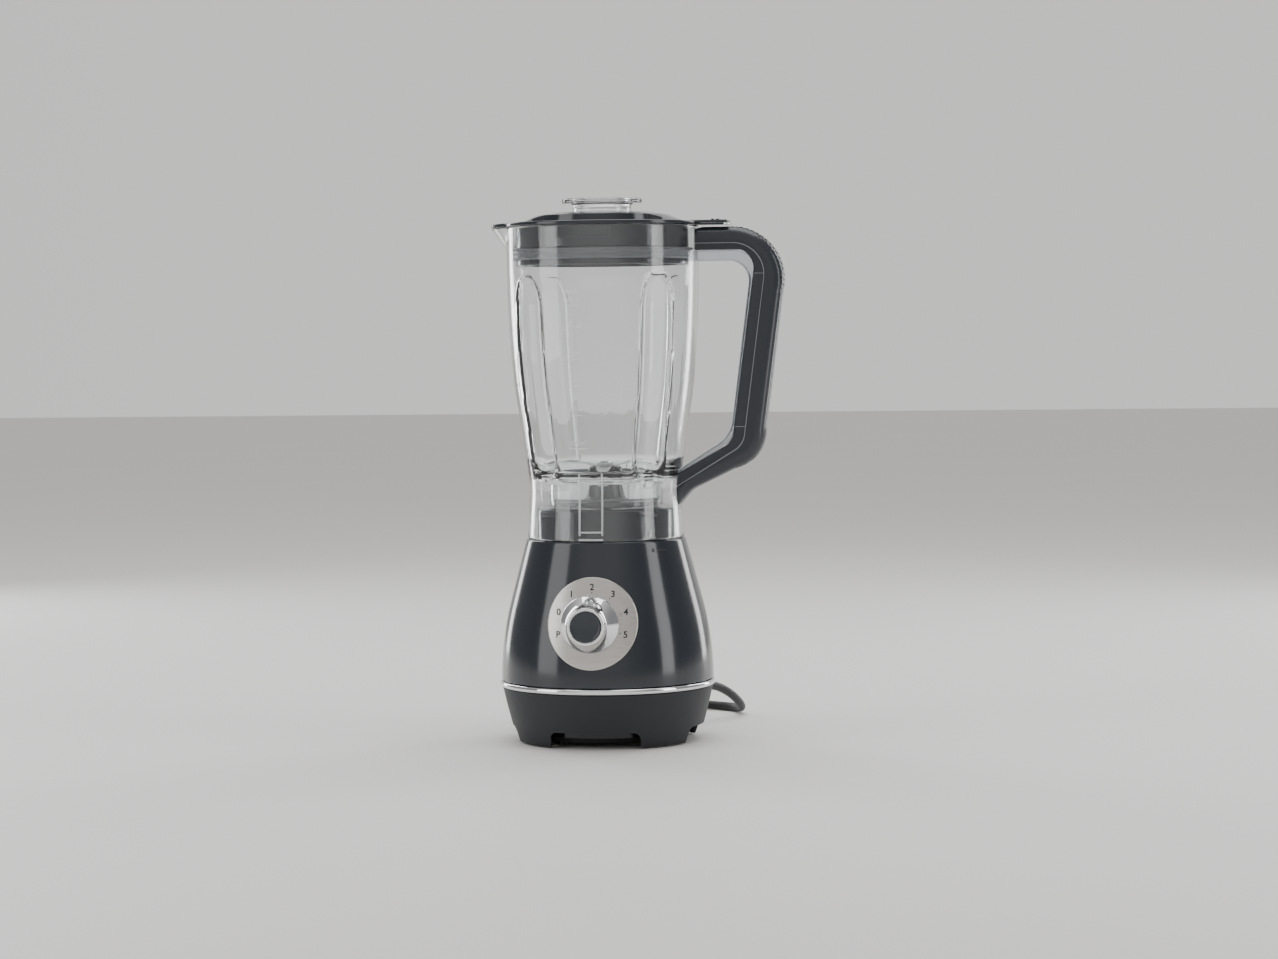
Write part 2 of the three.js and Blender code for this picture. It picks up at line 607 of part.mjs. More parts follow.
/** The free run of the cord, from the strain relief to the coil behind the base. */
const CORD_ROUTE = [
  [58.1, 100.6, 30], [61.4, 106.3, 29.6], [66, 113.6, 28.2], [71.2, 121.2, 25.6], [76.2, 128.8, 21.6],
  [80.4, 136.6, 16.8], [83.2, 145, 11.8], [84.2, 153.6, 7.6], [83, 162.2, 4.9], [79.2, 170.2, 3.8],
  [73.2, 177, 3.6], [65.6, 182.4, 3.6], [57, 186.4, 3.8], [47.6, 189.2, 4.1], [37.5, 190.6, 4.4],
  [25.5, 191, 4.7],
];

/** The short tail from the coil to the plug. */
const CORD_TAIL = [[-43.4, 127, 12], [-45.2, 121, 12.4], [-47.1, 115.2, 12.9], [-48.4, 111.6, 13]];

/** A round cord along a smooth line through the points given. */
function cordAlong(route, steps) {
  const path = new THREE.CatmullRomCurve3(route.map((place) => new THREE.Vector3(...place)));
  const section = new THREE.Shape().absarc(0, 0, CORD.radius, 0, 2 * Math.PI);
  const settings = { steps, extrudePath: path, curveSegments: 4 };
  return toSolid(new THREE.ExtrudeGeometry(section, settings));
}

function strainRelief() {
  const { angle, height, neck, reliefLength, start } = CORD_EXIT;
  const taper = turned([
    [0, 68], [8, 68], [8, 71.5], [neck, 71.5], [neck, start], [7.6, start], [7.6, start + 3],
    [6.2, start + 4],
    [CORD.radius + 0.9, start + reliefLength], [0, start + reliefLength],
  ], 14);
  return taper.rotate([-90, 0, -angle]).translate([0, 0, height]);
}

function cordCoil() {
  const inner = CORD.turnInner - CORD.radius - GAP;
  const outer = CORD.turnOuter + CORD.radius + GAP;
  const { low, high, ringX, ringY } = CORD;
  return turnedRing([
    [inner + 3, low], [outer - 3, low], [outer, low + 3], [outer, high - 3], [outer - 3, high],
    [inner + 3, high], [inner, high - 3], [inner, low + 3],
  ], 32).translate([ringX, ringY, 0]);
}

function cordTie() {
  const opening = block([29, -10, 1], [45.1, 10, 15.4]);
  const strap = block([28, -6, 0.1], [46.1, 6, 16.3]).subtract(opening);
  return strap.rotate([0, 0, 20]).translate([CORD.ringX, CORD.ringY, 0]);
}

/** A two-pin moulded plug lying flat, its cord end at the local origin and its pins along +X. */
function plug() {
  const { length, width, height, pin, pinLength } = PLUG;
  const outline = rounded([
    [0, -5], [10, -7, 3], [22, -width / 2, 6], [length, -width / 2, 2], [length, width / 2, 2],
    [22, width / 2, 6], [10, 7, 3], [0, 5],
  ], 3);
  const face = rounded([
    [0, -6], [12, -8, 4], [24, -height / 2, 6], [length, -height / 2, 1], [length, height / 2, 1],
    [24, height / 2, 6], [12, 8, 4], [0, 6],
  ], 3);
  const body = prism(outline, -20, 20).intersect(sidePiece(face, 60));
  const pins = [-9.5, 9.5].map((side) => rod(pin, length - 2, length + pinLength, 16)
    .rotate([0, 90, 0]).translate([0, side, 0]));
  return join(body, ...pins).rotate([0, 0, PLUG.heading]).translate([PLUG.x, PLUG.y, height / 2 + 0.05]);
}

// ---------------------------------------------------------------- assembly
function baseGroup() {
  const base = new THREE.Group();
  base.add(
    part("upper_housing", upperHousing(), GLOSS_GREY),
    part("lower_housing", lowerHousing(), MATTE_GREY),
    part("trim_ring", trimRing(), CHROME),
    part("bottom_cover", bottomCover(), BLACK_PLASTIC),
    part("dial_plate", dialPlate(), DIAL_SILVER),
    part("stator_core", statorCore(), STEEL),
    part("motor_lower_bracket", lowerBracket(), BLACK_PLASTIC),
    part("motor_upper_bracket", upperBracket(), STEEL),
    part("bearing_lower", pipe(MOTOR.shaft + GAP, 8, 66.3, 71.7), STEEL),
    part("bearing_upper", pipe(MOTOR.shaft + GAP, 8, 138, 144.7), STEEL),
    part("rotary_switch", rotarySwitch(), BLACK_PLASTIC),
    part("circuit_board", block([-30, 46, 58], [30, 47.6, 110]), BOARD_GREEN),
    part("micro_switch", microSwitch(), BLACK_PLASTIC),
  );
  quarterTurns(FOOT.circle, 45).forEach(([x, y], index) => {
    base.add(part(`foot_${index + 1}`, rod(FOOT.radius, 0, FOOT.height).translate([x, y, 0]), PALE_RUBBER));
  });
  quarterTurns(LEGS.circle, 45).forEach(([x, y], index) => {
    const screw = rod(3.3, 1.9, 3.7, 10).add(rod(LEGS.screw, 3.5, 20, 8)).translate([x, y, 0]);
    base.add(part(`bottom_screw_${index + 1}`, screw, STEEL));
  });
  [-1, 1].forEach((side, index) => {
    base.add(
      part(`stator_coil_${index + 1}`, statorCoil(side), COPPER),
      part(`brush_holder_${index + 1}`, brushHolder(side), BRASS),
      part(`carbon_brush_${index + 1}`, carbonBrush(side), CARBON),
      part(`motor_mount_${index + 1}`, rod(4.2, 138.3, 150.9, 14).translate([side * 52.8, 0, 0]), RUBBER),
    );
  });
  return base;
}

function rotorGroup() {
  const rotor = new THREE.Group();
  rotor.add(
    part("rotor_shaft", rod(MOTOR.shaft, 50, 166.5, 16), STEEL),
    part("rotor_core", rotorCore(), STEEL),
    part("commutator", pipe(MOTOR.shaft + GAP, 11.2, 116, 133.6, 24), COPPER),
    part("cooling_fan", coolingFan(), BLACK_PLASTIC),
    part("drive_coupling", driveCoupling(), BLACK_PLASTIC),
  );
  return rotor;
}

function knobGroup() {
  const knob = new THREE.Group();
  knob.add(...knobParts());
  knob.rotation.x = Math.PI / 2;
  knob.position.set(0, -KNOB.back, DIAL.height);
  return knob;
}

function interlockGroup() {
  const pin = new THREE.Group();
  pin.add(part("interlock_pin", interlockPin(), BLACK_PLASTIC));
  return pin;
}

function bladeGroup() {
  const shaft = rod(MOTOR.shaft, 170, 206.2, 16);
  const driven = cut(prism(star(6, 8.6, 12.1), 168.6, 177.2), rod(MOTOR.shaft + GAP, 169.7, 190, 16));
  const blades = new THREE.Group();
  blades.add(
    part("blade_holder", bladeHolder(), BLACK_PLASTIC),
    part("blade_seal", pipe(34.5, 40, 183.1, 184.9, 28), SILICONE),
    part("shaft_bush", pipe(MOTOR.shaft + GAP, 7, 179.5, 198.2, 20), BRASS),
    part("blade_shaft", shaft, STEEL),
    part("driven_coupling", driven, BLACK_PLASTIC),
    part("blade_lower", bladePair(BLADE.seat, -4, 27, 90), STEEL),
    part("blade_upper", bladePair(BLADE.seat + BLADE.thick + GAP, 11, 26, 0), STEEL),
    part("blade_nut", bladeNut(), STEEL),
  );
  return blades;
}

function jugGroup() {
  const vessel = new THREE.Group();
  vessel.add(part("jug", jug(), CLEAR), ...handleParts());
  return vessel;
}

function lidGroup() {
  const cover = new THREE.Group();
  cover.add(
    part("lid", lid(), GLOSS_GREY),
    part("lid_seal", lidSeal(), SILICONE),
    part("measuring_cap", measuringCap(), CLEAR),
  );
  return cover;
}

function cordGroup() {
  const cord = new THREE.Group();
  cord.name = "cord";
  cord.add(
    part("strain_relief", strainRelief(), RUBBER),
    part("power_cord", cordAlong(CORD_ROUTE, 24), RUBBER),
    part("cord_coil", cordCoil(), RUBBER),
    part("cord_tail", cordAlong(CORD_TAIL, 4), RUBBER),
    part("cord_tie", cordTie(), RUBBER),
    part("plug", plug(), RUBBER),
  );
  return cord;
}

const assembly = new THREE.Group();
assembly.add(baseGroup(), rotorGroup(), knobGroup(), interlockGroup());
assembly.add(bladeGroup(), jugGroup(), lidGroup());
assembly.updateMatrixWorld(true);
const footprint = new THREE.Box3().setFromObject(assembly, true);
assembly.add(cordGroup());
assembly.position.set(-(footprint.min.x + footprint.max.x) / 2, -(footprint.min.y + footprint.max.y) / 2, 0);

const blender = new THREE.Group();
blender.name = "countertop_blender";
blender.add(assembly);

export default blender;
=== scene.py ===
"""A countertop blender: its surfaces, clear jug, controls, cord and finishes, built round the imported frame."""
import logging
import math
from dataclasses import dataclass, field
from enum import Enum

import bmesh
import bpy
from mathutils import Matrix, Vector


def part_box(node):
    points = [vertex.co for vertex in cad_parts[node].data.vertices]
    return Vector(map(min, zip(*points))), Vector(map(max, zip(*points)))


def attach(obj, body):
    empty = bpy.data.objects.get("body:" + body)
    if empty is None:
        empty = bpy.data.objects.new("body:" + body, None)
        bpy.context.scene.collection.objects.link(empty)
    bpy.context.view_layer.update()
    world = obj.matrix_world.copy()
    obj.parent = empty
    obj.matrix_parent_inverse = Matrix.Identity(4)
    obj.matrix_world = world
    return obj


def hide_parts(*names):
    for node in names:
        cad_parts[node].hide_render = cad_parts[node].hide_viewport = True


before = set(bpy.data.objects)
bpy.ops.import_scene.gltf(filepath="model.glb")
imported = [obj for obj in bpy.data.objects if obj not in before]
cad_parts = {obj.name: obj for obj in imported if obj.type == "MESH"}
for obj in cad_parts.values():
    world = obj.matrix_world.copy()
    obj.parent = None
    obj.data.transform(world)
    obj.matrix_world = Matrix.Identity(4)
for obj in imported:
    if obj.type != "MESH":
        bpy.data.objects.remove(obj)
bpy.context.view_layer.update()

LOG = logging.getLogger("blender")
MM = 0.001

Point2 = tuple[float, float]
Point3 = tuple[float, float, float]
Corner = tuple[float, ...]


def _middle(node: str) -> Vector:
    """Middle of a CAD node's box, in metres."""
    low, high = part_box(node)
    return (Vector(low) + Vector(high)) / 2


RING_MIDDLE = _middle("trim_ring")
AXIS = Vector((RING_MIDDLE.x, RING_MIDDLE.y, 0.0))
TO_ROW = Matrix.Translation(AXIS) @ Matrix.Scale(MM, 4)


class Body(str, Enum):
    """The bodies that new pieces ride on."""

    BASE = "base"
    KNOB = "knob"
    BLADE_UNIT = "blade_unit"
    BLADE_ROTOR = "blade_rotor"
    JUG = "jug"
    LID = "lid"
    CAP = "cap"


# ------------------------------------------------------------------ shader groups
class NodeKit:
    """Adds nodes and links to one node tree, from left to right."""

    def __init__(self, tree: bpy.types.NodeTree) -> None:
        """Keeps the tree to add to."""
        self.tree = tree

    def add(self, kind: str, **settings: object) -> bpy.types.Node:
        """Adds a node.

        Args:
            kind: The node's type name.
            settings: Properties of the node, or numbers and colours for sockets, as name=value with
                underscores in place of spaces.

        Returns:
            The node.
        """
        node = self.tree.nodes.new(kind)
        for key, value in settings.items():
            if hasattr(node, key):
                setattr(node, key, value)
            else:
                node.inputs[key.replace("_", " ")].default_value = value
        return node

    def link(self, source: bpy.types.NodeSocket, target: bpy.types.NodeSocket) -> None:
        """Joins one output to one input."""
        self.tree.links.new(source, target)


def _new_group(name: str, inputs: dict[str, tuple[str, object]], outputs: dict[str, str]) -> tuple:
    """Starts a shader node group.

    Args:
        name: The group's name.
        inputs: Socket type and default value by input name.
        outputs: Socket type by output name.

    Returns:
        The group's tree, its kit, its input node and its output node.
    """
    tree = bpy.data.node_groups.new(name, "ShaderNodeTree")
    for label, (kind, value) in inputs.items():
        socket = tree.interface.new_socket(name=label, in_out="INPUT", socket_type=kind)
        socket.default_value = value
    for label, kind in outputs.items():
        tree.interface.new_socket(name=label, in_out="OUTPUT", socket_type=kind)
    kit = NodeKit(tree)
    return tree, kit, kit.add("NodeGroupInput"), kit.add("NodeGroupOutput")


FLOAT = "NodeSocketFloat"
COLOUR = "NodeSocketColor"


class Effects:
    """The shader node groups that several finishes share, each built once."""

    def __init__(self) -> None:
        """Builds every group."""
        self.grain = self._grain()
        self.tone = self._tone()
        self.wear = self._wear()
        self.brushed = self._brushed()
        self.dust = self._dust()

    @staticmethod
    def _grain() -> bpy.types.NodeTree:
        """Fine moulded texture with a slow ripple under it."""
        tree, kit, enter, leave = _new_group(
            "Moulded grain", {"Scale": (FLOAT, 1500.0), "Ripple": (FLOAT, 0.3)}, {"Height": FLOAT})
        place = kit.add("ShaderNodeTexCoord")
        fine = kit.add("ShaderNodeTexNoise", Detail=3.0, Roughness=0.6)
        slow = kit.add("ShaderNodeTexNoise", Scale=45.0, Detail=2.0)
        lift = kit.add("ShaderNodeMath", operation="MULTIPLY")
        total = kit.add("ShaderNodeMath", operation="ADD")
        kit.link(place.outputs["Object"], fine.inputs["Vector"])
        kit.link(place.outputs["Object"], slow.inputs["Vector"])
        kit.link(enter.outputs["Scale"], fine.inputs["Scale"])
        kit.link(slow.outputs["Fac"], lift.inputs[0])
        kit.link(enter.outputs["Ripple"], lift.inputs[1])
        kit.link(fine.outputs["Fac"], total.inputs[0])
        kit.link(lift.outputs[0], total.inputs[1])
        kit.link(total.outputs[0], leave.inputs["Height"])
        return tree

    @staticmethod
    def _tone() -> bpy.types.NodeTree:
        """A slow drift of colour and roughness over a surface."""
        tree, kit, enter, leave = _new_group(
            "Tone drift",
            {"Colour": (COLOUR, (0.5, 0.5, 0.5, 1)), "Second": (COLOUR, (0.4, 0.4, 0.4, 1)),
             "Roughness": (FLOAT, 0.3), "Spread": (FLOAT, 0.05)},
            {"Colour": COLOUR, "Roughness": FLOAT})
        place = kit.add("ShaderNodeTexCoord")
        cloud = kit.add("ShaderNodeTexNoise", Scale=18.0, Detail=5.0, Roughness=0.65)
        smear = kit.add("ShaderNodeTexNoise", Scale=70.0, Detail=6.0, Distortion=1.5)
        mix = kit.add("ShaderNodeMix", data_type="RGBA")
        centred = kit.add("ShaderNodeMath", operation="SUBTRACT")
        centred.inputs[1].default_value = 0.5
        scaled = kit.add("ShaderNodeMath", operation="MULTIPLY")
        total = kit.add("ShaderNodeMath", operation="ADD", use_clamp=True)
        kit.link(place.outputs["Object"], cloud.inputs["Vector"])
        kit.link(place.outputs["Object"], smear.inputs["Vector"])
        kit.link(cloud.outputs["Fac"], mix.inputs["Factor"])
        kit.link(enter.outputs["Colour"], mix.inputs[6])
        kit.link(enter.outputs["Second"], mix.inputs[7])
        kit.link(smear.outputs["Fac"], centred.inputs[0])
        kit.link(centred.outputs[0], scaled.inputs[0])
        kit.link(enter.outputs["Spread"], scaled.inputs[1])
        kit.link(scaled.outputs[0], total.inputs[0])
        kit.link(enter.outputs["Roughness"], total.inputs[1])
        kit.link(mix.outputs[2], leave.inputs["Colour"])
        kit.link(total.outputs[0], leave.inputs["Roughness"])
        return tree

    @staticmethod
    def _wear() -> bpy.types.NodeTree:
        """A mask that is bright along worn outer edges."""
        tree, kit, enter, leave = _new_group("Edge wear", {"Amount": (FLOAT, 0.5)}, {"Mask": FLOAT})
        shape = kit.add("ShaderNodeNewGeometry")
        ramp = kit.add("ShaderNodeMapRange")
        ramp.inputs["From Min"].default_value = 0.52
        ramp.inputs["From Max"].default_value = 0.62
        place = kit.add("ShaderNodeTexCoord")
        patches = kit.add("ShaderNodeTexNoise", Scale=260.0, Detail=4.0)
        broken = kit.add("ShaderNodeMath", operation="MULTIPLY")
        total = kit.add("ShaderNodeMath", operation="MULTIPLY", use_clamp=True)
        kit.link(shape.outputs["Pointiness"], ramp.inputs["Value"])
        kit.link(place.outputs["Object"], patches.inputs["Vector"])
        kit.link(ramp.outputs["Result"], broken.inputs[0])
        kit.link(patches.outputs["Fac"], broken.inputs[1])
        kit.link(broken.outputs[0], total.inputs[0])
        kit.link(enter.outputs["Amount"], total.inputs[1])
        kit.link(total.outputs[0], leave.inputs["Mask"])
        return tree

    @staticmethod
    def _brushed() -> bpy.types.NodeTree:
        """Fine straight scratches along X, for brushed and drawn metal."""
        tree, kit, enter, leave = _new_group(
            "Brushed lines", {"Fineness": (FLOAT, 1.0)}, {"Height": FLOAT, "Shade": FLOAT})
        place = kit.add("ShaderNodeTexCoord")
        stretch = kit.add("ShaderNodeVectorMath", operation="MULTIPLY")
        stretch.inputs[1].default_value = (40.0, 2600.0, 2600.0)
        lines = kit.add("ShaderNodeTexNoise", Detail=4.0, Roughness=0.7)
        wide = kit.add("ShaderNodeVectorMath", operation="MULTIPLY")
        wide.inputs[1].default_value = (12.0, 500.0, 500.0)
        bands = kit.add("ShaderNodeTexNoise", Scale=1.0, Detail=2.0)
        kit.link(place.outputs["Object"], stretch.inputs[0])
        kit.link(stretch.outputs["Vector"], lines.inputs["Vector"])
        kit.link(enter.outputs["Fineness"], lines.inputs["Scale"])
        kit.link(place.outputs["Object"], wide.inputs[0])
        kit.link(wide.outputs["Vector"], bands.inputs["Vector"])
        kit.link(lines.outputs["Fac"], leave.inputs["Height"])
        kit.link(bands.outputs["Fac"], leave.inputs["Shade"])
        return tree

    @staticmethod
    def _dust() -> bpy.types.NodeTree:
        """A mask of light dust that settles on faces that look up."""
        tree, kit, enter, leave = _new_group("Settled dust", {"Amount": (FLOAT, 0.1)}, {"Mask": FLOAT})
        shape = kit.add("ShaderNodeNewGeometry")
        split = kit.add("ShaderNodeSeparateXYZ")
        up = kit.add("ShaderNodeMapRange")
        up.inputs["From Min"].default_value = 0.35
        place = kit.add("ShaderNodeTexCoord")
        specks = kit.add("ShaderNodeTexNoise", Scale=900.0, Detail=6.0, Roughness=0.7)
        thin = kit.add("ShaderNodeMapRange")
        thin.inputs["From Min"].default_value = 0.48
        thin.inputs["From Max"].default_value = 0.72
        both = kit.add("ShaderNodeMath", operation="MULTIPLY")
        total = kit.add("ShaderNodeMath", operation="MULTIPLY", use_clamp=True)
        kit.link(shape.outputs["Normal"], split.inputs["Vector"])
        kit.link(split.outputs["Z"], up.inputs["Value"])
        kit.link(place.outputs["Object"], specks.inputs["Vector"])
        kit.link(specks.outputs["Fac"], thin.inputs["Value"])
        kit.link(up.outputs["Result"], both.inputs[0])
        kit.link(thin.outputs["Result"], both.inputs[1])
        kit.link(both.outputs[0], total.inputs[0])
        kit.link(enter.outputs["Amount"], total.inputs[1])
        kit.link(total.outputs[0], leave.inputs["Mask"])
        return tree


EFFECTS = Effects()


def _group_node(kit: NodeKit, tree: bpy.types.NodeTree, **values: object) -> bpy.types.Node:
    """Places a shader group and sets its inputs.

    Args:
        kit: The material's kit.
        tree: The group.
        values: Input values by name.

    Returns:
        The group node.
    """
    node = kit.add("ShaderNodeGroup")
    node.node_tree = tree
    for key, value in values.items():
        node.inputs[key].default_value = value
    return node


def _shader(name: str) -> tuple[bpy.types.Material, NodeKit, bpy.types.Node]:
    """A new material with its kit and its Principled shader."""
    material = bpy.data.materials.new(name)
    material.use_nodes = True
    return material, NodeKit(material.node_tree), material.node_tree.nodes["Principled BSDF"]


def _grey(value: float) -> tuple[float, float, float, float]:
    """A neutral colour."""
    return (value, value, value, 1.0)


@dataclass(frozen=True)
class Plastic:
    """An opaque moulded plastic or rubber."""

    name: str
    colour: Point3
    roughness: float
    grain: float = 1500.0
    grain_depth: float = 0.00001
    ripple: float = 0.3
    spread: float = 0.08
    drift: float = 0.12
    wear: float = 0.25
    dust: float = 0.04
    coat: float = 0.0
    sheen: float = 0.0
    slot: str = ""

    def material(self) -> bpy.types.Material:
        """Builds the material."""
        material, kit, shader = _shader(self.name)
        base = (*self.colour, 1.0)
        second = (*[c * (1 - self.drift) for c in self.colour], 1.0)
        tone = _group_node(kit, EFFECTS.tone, Colour=base, Second=second, Roughness=self.roughness,
                           Spread=self.spread)
        grain = _group_node(kit, EFFECTS.grain, Scale=self.grain, Ripple=self.ripple)
        wear = _group_node(kit, EFFECTS.wear, Amount=self.wear)
        dust = _group_node(kit, EFFECTS.dust, Amount=self.dust)
        worn = kit.add("ShaderNodeMix", data_type="RGBA")
        worn.inputs[7].default_value = (*[min(1.0, c * 1.9 + 0.02) for c in self.colour], 1.0)
        dusty = kit.add("ShaderNodeMix", data_type="RGBA")
        dusty.inputs[7].default_value = _grey(0.42)
        bump = kit.add("ShaderNodeBump", Strength=1.0, Distance=self.grain_depth)
        kit.link(wear.outputs["Mask"], worn.inputs["Factor"])
        kit.link(tone.outputs["Colour"], worn.inputs[6])
        kit.link(worn.outputs[2], dusty.inputs[6])
        kit.link(dust.outputs["Mask"], dusty.inputs["Factor"])
        kit.link(dusty.outputs[2], shader.inputs["Base Color"])
        kit.link(tone.outputs["Roughness"], shader.inputs["Roughness"])
        kit.link(grain.outputs["Height"], bump.inputs["Height"])
        kit.link(bump.outputs["Normal"], shader.inputs["Normal"])
        shader.inputs["Coat Weight"].default_value = self.coat
        shader.inputs["Coat Roughness"].default_value = 0.06
        shader.inputs["Sheen Weight"].default_value = self.sheen
        return material


@dataclass(frozen=True)
class Metal:
    """A plated, drawn or brushed metal."""

    name: str
    colour: Point3
    roughness: float
    brush_depth: float = 0.0
    fineness: float = 1.0
    spread: float = 0.04
    drift: float = 0.06
    slot: str = ""

    def material(self) -> bpy.types.Material:
        """Builds the material."""
        material, kit, shader = _shader(self.name)
        base = (*self.colour, 1.0)
        second = (*[c * (1 - self.drift) for c in self.colour], 1.0)
        tone = _group_node(kit, EFFECTS.tone, Colour=base, Second=second, Roughness=self.roughness,
                           Spread=self.spread)
        lines = _group_node(kit, EFFECTS.brushed, Fineness=self.fineness)
        shade = kit.add("ShaderNodeMix", data_type="RGBA", blend_type="MULTIPLY")
        shade.inputs["Factor"].default_value = 0.25 if self.brush_depth else 0.04
        bump = kit.add("ShaderNodeBump", Strength=1.0, Distance=max(self.brush_depth, 0.0000004))
        kit.link(tone.outputs["Colour"], shade.inputs[6])
        kit.link(lines.outputs["Shade"], shade.inputs[7])
        kit.link(shade.outputs[2], shader.inputs["Base Color"])
        kit.link(tone.outputs["Roughness"], shader.inputs["Roughness"])
        kit.link(lines.outputs["Height"], bump.inputs["Height"])
        kit.link(bump.outputs["Normal"], shader.inputs["Normal"])
        shader.inputs["Metallic"].default_value = 1.0
        return material


@dataclass(frozen=True)
class ClearPlastic:
    """Clear or translucent plastic."""

    name: str
    colour: Point3 = (0.97, 0.985, 0.99)
    roughness: float = 0.015
    index: float = 1.5
    transmission: float = 0.985
    ripple: float = 0.00002
    slot: str = ""

    def material(self) -> bpy.types.Material:
        """Builds the material."""
        material, kit, shader = _shader(self.name)
        base = (*self.colour, 1.0)
        second = (*[c * 0.985 for c in self.colour], 1.0)
        tone = _group_node(kit, EFFECTS.tone, Colour=base, Second=second, Roughness=self.roughness, Spread=0.02)
        grain = _group_node(kit, EFFECTS.grain, Scale=60.0, Ripple=1.0)
        bump = kit.add("ShaderNodeBump", Strength=1.0, Distance=self.ripple)
        kit.link(tone.outputs["Colour"], shader.inputs["Base Color"])
        kit.link(tone.outputs["Roughness"], shader.inputs["Roughness"])
        kit.link(grain.outputs["Height"], bump.inputs["Height"])
        kit.link(bump.outputs["Normal"], shader.inputs["Normal"])
        shader.inputs["Transmission Weight"].default_value = self.transmission
        shader.inputs["IOR"].default_value = self.index
        return material


class Finishes:
    """Every finish of the appliance, built once and shared by its pieces."""

    SPECS = {
        "gloss_grey": Plastic("Gloss slate plastic", (0.019, 0.023, 0.03), 0.14, grain=420.0, grain_depth=0.0000012,
                              ripple=1.5, spread=0.06, coat=0.2, dust=0.015, slot="gloss_grey"),
        "matte_grey": Plastic("Matte slate plastic", (0.013, 0.015, 0.019), 0.56, grain=2400.0, grain_depth=0.00005,
                              ripple=0.05, slot="matte_grey"),
        "satin_grey": Plastic("Satin grip plastic", (0.022, 0.026, 0.034), 0.22, grain=2600.0, grain_depth=0.00001,
                              slot="satin_grey"),
        "black_plastic": Plastic("Black plastic", (0.006, 0.006, 0.007), 0.2, grain=900.0, grain_depth=0.000004,
                                 slot="black_plastic"),
        "knob_blue": Plastic("Dark knob cap", (0.018, 0.023, 0.031), 0.3, grain=1800.0, grain_depth=0.000006,
                             coat=0.2, slot="satin_grey"),
        "rubber": Plastic("Black cord rubber", (0.011, 0.011, 0.012), 0.5, grain=3200.0, grain_depth=0.00002,
                          dust=0.1, sheen=0.1, slot="rubber"),
        "pale_rubber": Plastic("Pale foot rubber", (0.48, 0.46, 0.42), 0.75, grain=2200.0, grain_depth=0.00003,
                               slot="pale_rubber"),
        "board_green": Plastic("Circuit board", (0.03, 0.13, 0.05), 0.4, slot="board_green"),
        "carbon": Plastic("Brush carbon", (0.02, 0.02, 0.02), 0.7, slot="carbon"),
        "ink": Plastic("Dial printing", (0.012, 0.012, 0.013), 0.45, grain=3000.0, wear=0.0, dust=0.0,
                       slot="black_plastic"),
        "light_ink": Plastic("White printing", (0.72, 0.73, 0.74), 0.5, grain=3000.0, wear=0.0, dust=0.0,
                             slot="silicone"),
        "chrome": Metal("Bright chrome", (0.86, 0.865, 0.87), 0.045, slot="chrome"),
        "dial_silver": Metal("Brushed dial silver", (0.66, 0.63, 0.595), 0.33, brush_depth=0.000006,
                             slot="dial_silver"),
        "steel": Metal("Brushed blade steel", (0.66, 0.665, 0.67), 0.24, brush_depth=0.000004, slot="steel"),
        "brass": Metal("Plain brass", (0.66, 0.48, 0.2), 0.3, slot="brass"),
        "copper": Metal("Enamelled copper", (0.55, 0.24, 0.11), 0.35, slot="copper"),
        "clear_plastic": ClearPlastic("Clear jug plastic", slot="clear_plastic"),
        "clear_edge": ClearPlastic("Clear handle plastic", (0.88, 0.92, 0.965), 0.04, 1.5, 0.72,
                                   slot="clear_plastic"),
        "silicone": ClearPlastic("Silicone seal", (0.55, 0.57, 0.6), 0.35, 1.42, 0.55, slot="silicone"),
        "ribs": ClearPlastic("Moulded clear ribs", (0.93, 0.95, 0.97), 0.12, 1.5, 0.6, slot="clear_plastic"),
        # Pale grey for the handle's step bead and seam bars: a painted highlight of the clear channel's edge.
        "painted_highlight_grey": Plastic("Painted highlight line", (0.2, 0.215, 0.235), 0.25, grain=2600.0, wear=0.0, dust=0.0,
                             slot="satin_grey"),
        "frost": ClearPlastic("Frosted marks", (0.93, 0.94, 0.95), 0.6, 1.5, 0.12, slot="clear_plastic"),
    }

    def __init__(self) -> None:
        """Starts with no material built."""
        self.built: dict[str, bpy.types.Material] = {}

    def get(self, name: str) -> bpy.types.Material:
        """The material of one finish, built at its first use."""
        if name not in self.built:
            self.built[name] = self.SPECS[name].material()
        return self.built[name]

    def slot(self, name: str) -> str:
        """The record's material slot for one finish."""
        return self.SPECS[name].slot


FINISHES = Finishes()


# ------------------------------------------------------------------ outlines
def rounded(corners: list[Corner], closed: bool = False, steps: int = 8) -> list[Point2]:
    """Rounds the corners of an outline.

    Args:
        corners: Points as (x, y) or (x, y, radius).
        closed: Whether the last corner joins the first.
        steps: Segments in each rounded corner.

    Returns:
        The points of the outline.
    """
    points: list[Point2] = []
    count = len(corners)
    for index, corner in enumerate(corners):
        here = Vector(corner[:2])
        radius = corner[2] if len(corner) > 2 else 0.0
        at_end = not closed and index in (0, count - 1)
        if radius == 0.0 or at_end:
            points.append(tuple(here))
            continue
        back = (Vector(corners[index - 1][:2]) - here).normalized()
        ahead = (Vector(corners[(index + 1) % count][:2]) - here).normalized()
        half = back.angle(ahead) / 2
        reach = radius / math.tan(half)
        centre = here + (back + ahead).normalized() * (radius / math.sin(half))
        start = here + back * reach - centre
        end = here + ahead * reach - centre
        turn = math.atan2(start.x * end.y - start.y * end.x, start.dot(end))
        for step in range(steps + 1):
            angle = turn * step / steps
            spun = Vector((start.x * math.cos(angle) - start.y * math.sin(angle),
                           start.x * math.sin(angle) + start.y * math.cos(angle)))
            points.append(tuple(centre + spun))
    return points


